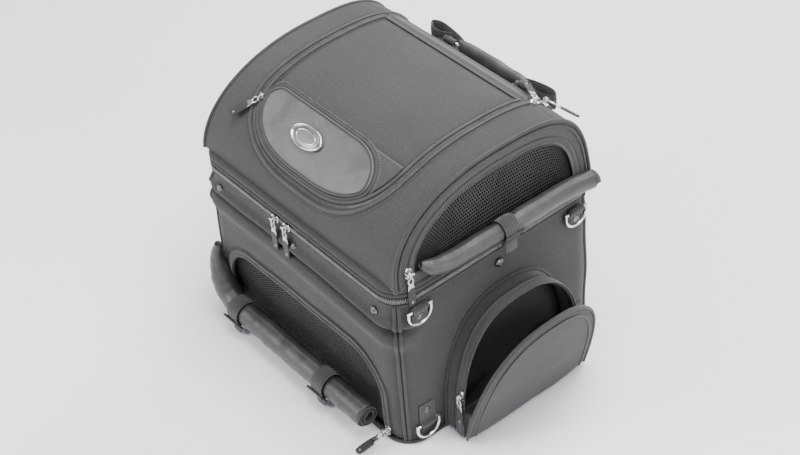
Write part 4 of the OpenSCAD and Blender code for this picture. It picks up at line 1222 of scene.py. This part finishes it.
def window_angles(inset, count=200):
    """Angles that space a window's arch evenly between its two ends on the sill."""
    y, z = lid_profile(arch_a, inset)
    keep = z >= sill_z
    a = arch_a[keep]
    length = np.append(0, np.cumsum(np.hypot(np.diff(y[keep]), np.diff(z[keep]))))
    return np.interp(np.linspace(0, length[-1], count), length, a)


def end_points(y, z, side, lift):
    return np.stack([side * (end_lean(z) + lift), y, z], -1)


for side, name in ((1, "right"), (-1, "left")):
    in_a = window_angles(band_width)
    oy, oz = lid_profile(arch_even)
    iy, iz = lid_profile(in_a, band_width)
    v = np.linspace(0, 1, 12)[:, None]
    y, z = oy + (iy - oy) * v, oz + (iz - oz) * v
    puff = 0.0016 * np.sin(math.pi * v) + 0 * y
    ring = end_points(y, z, side, puff)
    sy, sz = np.linspace(oy[0], oy[-1], 200), 0 * oy + rim_top
    wy, wz = np.linspace(iy[0], iy[-1], 200), 0 * iy + sill_z
    foot = end_points(sy + (wy - sy) * v, sz + (wz - sz) * v, side, 0 * puff)
    middle = (side * 0.17, 0, 0.31)
    end_cloth = sheet(f"{name}_end_cloth", [ring, foot], gusset_twill, (0, 0, 0.31), thick=0.002)
    body_piece(end_cloth, "body_fabric", f"lid_{name}_end", body="lid")
    ny, nz = lid_profile(window_angles(band_width - 0.004), band_width - 0.004)
    rows = np.linspace(0, 1, 30)[:, None]
    net_y, net_z = ny + 0 * rows, sill_z - 0.004 + (nz - sill_z + 0.004) * rows
    bulge = 0.003 * np.sin(math.pi * rows) * np.sin(np.linspace(0, math.pi, 200))
    net = sheet(f"{name}_window_net", end_points(net_y, net_z, side, -0.0028 - bulge), black_mesh,
                (0, 0, 0.31))
    body_piece(net, "mesh", body="lid")
    ty, tz = lid_profile(window_angles(band_width), band_width)
    edge = end_points(ty, tz, side, 0.0006)
    outwards = np.array((side, 0.0, 0.0)) + 0 * edge
    spread = np.cross(along(edge), outwards)
    spread *= np.sign((spread * (edge - edge.mean(0))).sum())
    body_piece(sheet(f"{name}_window_tape", strip(edge, spread, outwards, -0.0005, 0.0090, 0.0010, 0.0006),
                     tape_weave, (0, 0, 0.31), thick=0.0008), "zipper_tape", body="lid")
    body_piece(links(f"{name}_window_coil", [(edge + outwards * 0.0016, spread, outwards, 0)], coil_nylon,
                     0.0024, (0.0040, 0.0015, 0.0020)), "zipper_tape", body="lid")
    body_piece(links(f"{name}_window_stitches", [(edge + spread * d + outwards * 0.0022, spread, outwards, f)
                     for d, f in ((0.0078, 0), (0.0125, 0.4))], thread, stitch_pitch, stitch_size),
               "zipper_tape", body="lid")
    for part, inset, lift, wide in (("seam_cord", 0.0, 0.0006, 0.0026),
                                    ("second_cord", 0.0062, 0.0012, 0.0018)):
        cy, cz = lid_profile(arch_even, inset)
        cord = end_points(cy, cz, side, lift)
        body_piece(rod(f"{name}_end_{part}", cord, outwards[:1] + 0 * cord, wide, wide, piping_cover),
                   "piping", body="lid")
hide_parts("window_meshes")
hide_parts("window_zippers")

# ---- Rolled end flaps ----------------------------------------------------------------------
# The end windows' flaps are rolled down along the sills and strapped. Their front ends taper
# up to the zipper's foot, and their back ends droop.
end_roll_low, end_roll_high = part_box("right_window_roll")
end_r = (end_roll_high.x - end_roll_low.x) / 2
end_mid_x, end_mid_z = end_roll_high.x - end_r, (end_roll_high.z + end_roll_low.z) / 2
for side, name in ((1, "right"), (-1, "left")):
    route = smooth_path(np.array([
        (end_mid_x, end_roll_high.y - 0.004, end_mid_z - 0.008), (end_mid_x, 0.105, end_mid_z - 0.001),
        (end_mid_x, 0.008, end_mid_z), (end_mid_x, -0.070, end_mid_z + 0.0005),
        (end_mid_x - 0.001, -0.104, end_mid_z + 0.005), (end_mid_x - 0.006, -0.1235, end_mid_z + 0.016)])
        * (side, 1, 1), 150)
    size = np.interp(np.linspace(0, 1, 150), [0, 0.3, 0.72, 0.88, 1],
                     [end_r * 1.02, end_r * 1.06, end_r, end_r * 0.78, end_r * 0.34])
    roll = rolled(f"{name}_end_roll", route, size, roll_leather, 31 + side,
                  grip=[end_roll_high.y - 0.004 - 0.008], outward=(side * 0.7, 0, 0.7))
    body_piece(roll, "leatherette", f"{name}_window_roll", body="lid")
    wound = sheet(f"{name}_wound_tape", wound_tape(route[1], np.array((0, 1.0, 0)), end_r, 2.0),
                  tape_weave, tuple(route[0]), thick=0.001)
    body_piece(wound, "zipper_tape", body="lid")
    buckled(f"{name}_end_strap", (side * end_mid_x, 0.008, end_mid_z), end_r + 0.0012, 0.020, "lid",
            [], along_axis=1, out_sign=side)
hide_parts("lid_straps")

# ---- Top flap and its zipper ---------------------------------------------------------------
# A wide flap is cut out of the lid's cloth and hinged on a seam near the back. A coil zipper
# runs round it, on past the seam at both sides, between two corded ridges.
run_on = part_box("top_zipper")[1].y - flap_back


def flap_path(grow, lift, back, count=320):
    """A line beside the flap's edge on the lid, with the ways across and outwards."""
    x, y = flap_line(count, grow, back)
    a = angle_at(y)
    path = lid_point(x, a, lift)
    outward = unit(lid_point(x, a, lift + 0.01) - path)
    across = np.cross(along(path), outward)
    across *= np.sign((across * (path - np.array((0, 0, 0.3))))[:, 0].sum())
    return path, across, outward


flap_x, flap_y = flap_line(240, -0.0004, flap_back - 0.0065)
hinge_x_run = np.linspace(-flap_half, flap_half, 62)[1:-1]
flap_outline = np.vstack([np.column_stack([flap_x, flap_y]),
                          np.column_stack([hinge_x_run, 0 * hinge_x_run + flap_back - 0.0065])])
flap_middle = np.array((0.0, 0.01))
spokes = np.linspace(0, 1, 34)[:, None, None] ** 0.85
flap_plan = flap_middle + (flap_outline - flap_middle) * spokes
flap_a = angle_at(flap_plan[..., 1])
edge_soft = np.clip((1 - np.linspace(0, 1, 34)[:, None] ** 6), 0, 1)
flap_lift = (0.0026 + 0.0012 * ripple(flap_plan[..., 0], flap_plan[..., 1], 8, 0.16)) * edge_soft
cross_seam = -0.0016 * np.exp(-((flap_plan[..., 1] + 0.077) / 0.0016) ** 2)
flap_grid = lid_point(flap_plan[..., 0], flap_a, flap_lift + cross_seam)
flap = sheet("top_flap_cloth", flap_grid, body_cloth, inside_lid, thick=0.003,
             loop_columns=True)
flap.data.uv_layers[0].data.foreach_set("uv", np.array(
    [flap.data.vertices[loop.vertex_index].co[:2] for loop in flap.data.loops], np.float32).ravel())
body_piece(flap, "body_fabric", "top_flap", body="top_flap")
tape_cover = covered_cord("tape_cover", 0.027)
for name, grow, node, body, back in (("outer", zip_gap, "top_zipper", "lid", flap_back + run_on),
                                     ("inner", 0.0, None, "top_flap", flap_back - 0.0075)):
    sign = 1 if name == "outer" else -1
    path, across, outward = flap_path(grow, 0.0, back)
    body_piece(sheet(f"top_tape_{name}", strip(path, across, outward, sign * -0.0023, sign * 0.0078,
                     0.0014, 0.0005), tape_weave, inside_lid, thick=0.0008),
               "zipper_tape", *([node] if node else []), body=body)
    line, ways, outs = flap_path(grow - sign * 0.0012, 0.0024, back)
    body_piece(links(f"top_coil_{name}", [(line, ways, outs, 0.5 * (sign > 0))], coil_nylon, 0.0024,
                     (0.0034, 0.0015, 0.0018)), "zipper_tape", body=body)
    ridge, ways, outs = flap_path(grow + sign * 0.0036, 0.0026, back)
    body_piece(rod(f"top_ridge_{name}", ridge, outs, 0.0025, 0.0020, tape_cover), "piping", body=body)
    seam, ways, outs = flap_path(grow + sign * 0.0092, 0.0034 if sign > 0 else 0.0030, back)
    body_piece(links(f"top_stitches_{name}", [(seam, ways, outs, 0)], thread, stitch_pitch, stitch_size),
               "zipper_tape", body=body)
patch_x, patch_y = flap_line(900, -0.0075)
patch_side = (patch_x > 0.052) & (patch_y < -0.0768)
order = np.argsort(-patch_y[patch_side])
patch_x, patch_y = patch_x[patch_side][order], patch_y[patch_side][order]
down = np.linspace(patch_y[0], patch_y[-1], 26)
right_x = np.interp(-down, -patch_y, patch_x)
patch = 0.050 + (right_x[:, None] - 0.050) * np.linspace(0, 1, 30)[None]
patch_piece = sheet("flap_patch", lid_point(patch, angle_at(down[:, None] + 0 * patch), 0.0034 + 0 * patch),
                    gusset_twill, inside_lid, thick=0.0006)
body_piece(patch_piece, "body_fabric", body="top_flap")
patch_area = float(abs(down[1] - down[0]) * (right_x - 0.050).sum() * 1.25)
seam_x = np.linspace(-flap_half - 0.004, flap_half + 0.004, 100)[:, None]
seam_y = np.linspace(flap_back - 0.010, flap_back + 0.011, 17)[None]
seam_a = angle_at(seam_y + 0 * seam_x)
seam_share = np.clip((flap_half + 0.001 - np.abs(seam_x)) / 0.007, 0, 1)
seam_lift = 0.0010 + (0.0020 + 0.0022 * np.exp(-((seam_y - flap_back) / 0.0035) ** 2)) * seam_share
flap_hinge = sheet("flap_hinge_cloth", lid_point(seam_x + 0 * seam_y, seam_a, seam_lift), gusset_twill,
                   inside_lid, thick=0.001)
seam_front_end, seam_back_end = (tuple(lid_point(np.array(0.0), angle_at(np.array(flap_back + reach))))
                                 for reach in (-0.008, 0.008))
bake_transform(flap_hinge)

# ---- Badge pocket --------------------------------------------------------------------------
# A flat zip pocket of smooth, pale leatherette is stuffed with foam and bound twice round its
# edge. A plain oval plated badge with a raised inner ring is set into it.
pad_leather = leatherette("pad_leather", 0.085, roughness=0.44, coat=0.18)
pad_back, pad_left = -0.080, -0.118
corner_start, corner_foot = 0.046, -0.122


def pad_line(count, inset=0.0):
    """The pocket's outline in X and Y: along its straight back edge, round a wide corner at
    the right, and round the front beside the flap's zipper."""
    fx, fy = flap_line(1200, -0.0095 - inset)
    back_y = pad_back - inset
    keep = fy < corner_foot
    front = (fy < back_y) & ((fx < 0) | keep)
    fx, fy = fx[front], fy[front]
    turn_in = np.linspace(0, math.pi / 2, 60)
    rx, ry = fx[0] - corner_start, back_y - fy[0]
    bend = np.column_stack([corner_start + rx * np.sin(turn_in), fy[0] + ry * np.cos(turn_in)])
    line = np.vstack([[[fx[-1] + 0.014, back_y]], bend, np.column_stack([fx, fy])[:-1]])
    line = line[~((line[:, 0] < fx[-1] + 0.012) & (line[:, 1] > back_y - 0.013) & (line[:, 1] < back_y))]
    line = np.vstack([line, line[:1]])
    run = np.append(0, np.cumsum(np.linalg.norm(np.diff(line, axis=0), axis=1)))
    at = np.linspace(0, run[-1], count, endpoint=False)
    line = np.column_stack([np.interp(at, run, line[:, k]) for k in range(2)])
    for _ in range(count // 20):
        line = (np.roll(line, 1, 0) + 2 * line + np.roll(line, -1, 0)) / 4
    return line


pad_outline = pad_line(150)
pad_shape = pad_rings(np.column_stack([pad_outline, 0 * pad_outline[:, 0]]),
                      lambda p: p * (1, 1, 0) + (0, 0, 0.0015),
                      lambda p: p * (1, 1, 0) + (0, 0, 0.0062), steps=14)
pad_shape = lid_point(pad_shape[..., 0], angle_at(pad_shape[..., 1]), pad_shape[..., 2])
faces, uv = quads(pad_shape, loop_columns=True)
pad = make("badge_pocket_pad", pad_shape, faces, uv, pad_leather)
body_piece(pad, "pad_leather", "badge_pocket", body="top_flap")
for name, inset, lift, wide in (("outer", -0.0022, 0.0030, 0.0023), ("inner", 0.0022, 0.0062, 0.0015)):
    line = pad_line(260, inset)
    cord = lid_point(line[:, 0], angle_at(line[:, 1]), 0 * line[:, 0] + lift)
    outs = unit(lid_point(line[:, 0], angle_at(line[:, 1]), 0 * line[:, 0] + lift + 0.01) - cord)
    body_piece(rod(f"pad_binding_{name}", cord, outs, wide, wide, piping_cover, loop=True), "piping",
               body="top_flap")
line = pad_line(420, -0.0058)
line = line[(line[:, 1] > corner_foot - 0.006) & (line[:, 0] > pad_left - 0.004)]
first = int(np.argmax(np.linalg.norm(np.diff(line, axis=0), axis=1))) + 1
line = np.roll(line, -first, 0) if np.linalg.norm(line[first % len(line)] - line[first - 1]) > 0.01 else line
zip_line = lid_point(line[:, 0], angle_at(line[:, 1]), 0 * line[:, 0] + 0.0032)
outs = unit(lid_point(line[:, 0], angle_at(line[:, 1]), 0 * line[:, 0] + 0.0132) - zip_line)
body_piece(links("pad_coil", [(zip_line, np.cross(along(zip_line), outs), outs, 0)], coil_nylon, 0.0024,
                 (0.0036, 0.0015, 0.0016)), "zipper_tape", body="top_flap")

badge_low, badge_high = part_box("badge")
badge_mid = (np.array(badge_low) + np.array(badge_high)) / 2
badge_a = float(angle_at(np.array(badge_mid[1] + 0.0035)))
badge_foot = lid_point(np.array(0.0), np.array(badge_a))
badge_out = unit(lid_point(np.array(0.0), np.array(badge_a), 0.01) - badge_foot)
badge_up = np.cross(badge_out, (1.0, 0, 0))
badge_half = (badge_high.x - badge_low.x) / 2
badge_tall = badge_half * 0.52


def oval_plate(name, profile, finish):
    """A plate whose rings are ovals: a profile of share of the half length, and height."""
    angle = np.linspace(0, 2 * math.pi, 96, endpoint=False)[:, None]
    share, rise = np.array(profile).T
    rings = badge_mid + (np.cos(angle) * badge_half * share)[..., None] * np.array((1.0, 0, 0)) \
        + (np.sin(angle) * badge_tall * share)[..., None] * badge_up + rise[None, :, None] * badge_out
    faces, uv = quads(rings, loop_rows=True)
    return make(name, rings, faces, uv, finish)


plate = oval_plate("badge_plate", [(0, -0.0016), (0.97, -0.0016), (1.0, -0.0004), (0.99, 0.0012),
                                   (0.95, 0.0020), (0.90, 0.0020), (0.86, 0.0010), (0.84, 0.0004),
                                   (0.6, 0.0007), (0.3, 0.0008), (0, 0.0008)], chrome)
body_piece(plate, "chrome", "badge", body="top_flap")
brushed = plated("brushed_plate", 0.30, 0.34)
field = oval_plate("badge_field", [(0, 0.0002), (0.80, 0.0002), (0.83, 0.0006), (0.80, 0.0010),
                                   (0.5, 0.0013), (0, 0.0014)], brushed)
body_piece(field, "chrome", body="top_flap")
turn = np.linspace(0, 2 * math.pi, 72, endpoint=False)[:, None]
inner_ring = badge_mid + np.cos(turn) * badge_half * 0.60 * np.array((1.0, 0, 0)) \
    + np.sin(turn) * badge_tall * 0.52 * badge_up + 0.0013 * badge_out
body_piece(rod("badge_inner_ring", inner_ring, badge_out, 0.0007, 0.0006, chrome, sides=8, loop=True),
           "chrome", body="top_flap")

# ---- Sliders and pulls ---------------------------------------------------------------------
# Every zipper has plated cast sliders. Each pull is a plated ring and plate on a pin, with a
# rubber grip over the plate's end.
for node in ("body_sliders", "main_slider_left", "main_slider_right", "lid_sliders", "badge_slider"):
    recoat(node, chrome, 0.0005)
grip_rubber = Finish("grip_rubber", roughness=0.55)
grip_rubber.wear(colour=grip_rubber.tones(grip_rubber.grain(300, 3), (0.3, grey(0.012)[:3]),
                                          (0.7, grey(0.03)[:3])))
grip_rubber = grip_rubber.emboss(grip_rubber.grain(900, 2), 0.0002, 0.4)
satin = plated("satin_plate", 0.62, 0.2)
pull_joints = {j["child"]: j for j in frame["joints"] if "_pull" in j["child"]}


def tab_line(half, near, far, count=56):
    """A rounded rectangle across and along a pull, as a squarish superellipse."""
    t = np.linspace(0, 2 * math.pi, count, endpoint=False)
    round_off = [np.sign(w) * np.abs(w) ** 0.5 for w in (np.sin(t), np.cos(t))]
    return np.column_stack([half * round_off[0], (near + far) / 2 + (far - near) / 2 * round_off[1], 0 * t])


for node, joint in sorted(pull_joints.items()):
    pivot = np.array(joint["pos_m"])
    verts = np.array([v.co for v in frame["nodes"][node].data.vertices])
    pin = unit(np.array(joint["axis"], float))
    reach = (verts.max(0) + verts.min(0)) / 2 - pivot
    reach -= pin * (reach @ pin)
    reach = unit(reach)
    face = np.cross(pin, reach)
    long = np.max((verts - pivot) @ reach)

    def placed(across, down, rise):
        return pivot + across[..., None] * pin + down[..., None] * reach + rise[..., None] * face

    eye = np.linspace(0, 2 * math.pi, 26, endpoint=False)
    eye_line = placed(0 * eye, 0.0026 * np.cos(eye) * 1.25 + 0.0006, 0.0026 * np.sin(eye))
    body_piece(rod(f"{node}_eye", eye_line, pin, 0.0008, 0.0019, satin, sides=10, loop=True),
               "pull_metal", node, body=node)
    link = placed(0.0036 * np.sin(eye), 0.0098 + 0.0046 * np.cos(eye), 0 * eye)
    body_piece(rod(f"{node}_link", link, face, 0.0013, 0.0012, satin, sides=10, loop=True),
               "pull_metal", body=node)
    for part, half, near, thick, finish, slot in (
            ("plate", 0.0047, 0.0132, 0.0009, satin, "pull_metal"),
            ("grip", 0.0054, 0.0205, 0.0012, grip_rubber, "board_plastic")):
        tab = pad_rings(tab_line(half, near, long - 0.0008 * (part == "plate")),
                        lambda p: p * (1, 1, 0) - (0, 0, thick),
                        lambda p: p * (1, 1, 0) + (0, 0, thick), steps=7)
        if part == "grip":
            middle = np.abs(tab[..., 1] - (near + long) / 2) < 0.009
            tab[..., 2] -= 0.0002 * np.sign(tab[..., 2]) * (np.abs(tab[..., 0]) < half * 0.55) * middle
        tab = placed(tab[..., 0], tab[..., 1], tab[..., 2])
        faces, uv = quads(tab, loop_columns=True)
        body_piece(make(f"{node}_{part}", tab, faces, uv, finish), slot, body=node)
    hole = placed(0.0012 * np.sin(eye), long - 0.0052 + 0.0012 * np.cos(eye), 0 * eye)
    body_piece(rod(f"{node}_hole", hole, face, 0.0006, 0.0014, satin, sides=8, loop=True), "pull_metal",
               body=node)

# ---- Handle --------------------------------------------------------------------------------
# The carry handle is webbing that runs through two plated keepers on the lid's back, with a
# grip of rolled leatherette round its middle.
recoat("handle_rings", chrome, 0.0006)
handle_high, keeper_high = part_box("handle")[1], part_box("handle_rings")[1]
swing_joint = next(j for j in frame["joints"] if j["child"] == "handle")
bar = np.array(swing_joint["pos_m"])
grip_y, grip_z = handle_high.y - 0.008, bar[2] - 0.013
grip_half = 0.067
grip_x = np.linspace(-grip_half, grip_half, 90)
grip_path = np.column_stack([grip_x, grip_y + 0 * grip_x, grip_z + 0.0015 * np.cos(grip_x / grip_half * 1.5)])
grip_size = 1 - 0.10 * np.abs(grip_x / grip_half) ** 6 + 0.035 * ripple(grip_x, 0 * grip_x, 14, 0.03)
# Painted light: the grip's leatherette is a lighter copy of the rolls' (0.075 against 0.038), standing in for
# the brighter light that falls on the handle from behind and above.
handle_leather_painted_light = leatherette("handle_leather_painted_light", 0.075)
wrap = rolled("handle_wrap", grip_path, 0.0118 * grip_size, handle_leather_painted_light, 44, outward=(0, 0.3, 1.0))
squeeze = np.array([v.co for v in wrap.data.vertices])
squeeze[:, 1] = grip_y + (squeeze[:, 1] - grip_y) * 0.66
squeeze[:, 2] = grip_z + (squeeze[:, 2] - grip_z) * 1.22
wrap.data.vertices.foreach_set("co", squeeze.astype(np.float32).ravel())
body_piece(wrap, "leatherette", "handle", body="handle")
tab_x = (keeper_high.x - 0.014)
straps, strap_out = [], []
for side in (1, -1):
    loop = smooth_path(np.array([
        (grip_half - 0.012, grip_y, grip_z + 0.001), (grip_half + 0.010, grip_y + 0.0040, grip_z + 0.004),
        (tab_x + 0.034, grip_y + 0.0048, grip_z + 0.007), (tab_x + 0.0465, grip_y - 0.0030, grip_z + 0.008),
        (tab_x + 0.036, bar[1] - 0.0012, grip_z + 0.009), (tab_x + 0.018, bar[1] - 0.0020, bar[2] - 0.003),
        (tab_x + 0.004, bar[1] + 0.0052, bar[2] - 0.004)]) * (side, 1, 1), 90)
    straps.append(loop)
    strap_out.append(np.cross(along(loop), (0, 0, 1.0)))
body_piece(rod("handle_webbing", straps, strap_out, 0.0115, 0.0011, ribbed_webbing, sides=16), "webbing",
           body="handle")
hangers, hanger_out = [], []
for side in (1, -1):
    swing = np.linspace(-0.35 * math.pi, 1.15 * math.pi, 30)
    ring_y = bar[1] - 0.0036 * np.cos(swing)
    ring_z = bar[2] + 0.0036 * np.sin(swing)
    drop = np.linspace(0, 1, 14)
    last_y, last_z = ring_y[-1], ring_z[-1]
    fall = np.column_stack([0 * drop, last_y + (grip_y - 0.0065 - last_y) * drop,
                            last_z + (grip_z - 0.012 - last_z) * drop])
    path = np.vstack([np.column_stack([0 * swing, ring_y, ring_z]), fall[1:]])
    path = path + (side * tab_x, 0, 0)
    hangers.append(path)
    hanger_out.append(np.cross(along(path), (1.0, 0, 0)))
body_piece(rod("handle_hangers", hangers, hanger_out, 0.0108, 0.0010, ribbed_webbing, sides=16), "webbing",
           body="handle")
tab_points = []
for side in (1, -1):
    x, z = np.meshgrid(np.linspace(-0.0205, 0.0205, 14), np.linspace(bar[2] - 0.027, bar[2] - 0.003, 10),
                       indexing="ij")
    tab_y = lid_back + 0.0028 + 0.0008 * np.cos(x / 0.0205 * 1.5)
    tab_points.append(np.stack([x + side * tab_x, tab_y, z], -1))
keeper_tabs = sheet("keeper_tabs", tab_points, ribbed_webbing, inside_lid, thick=0.0022)
body_piece(keeper_tabs, "webbing", body="lid")
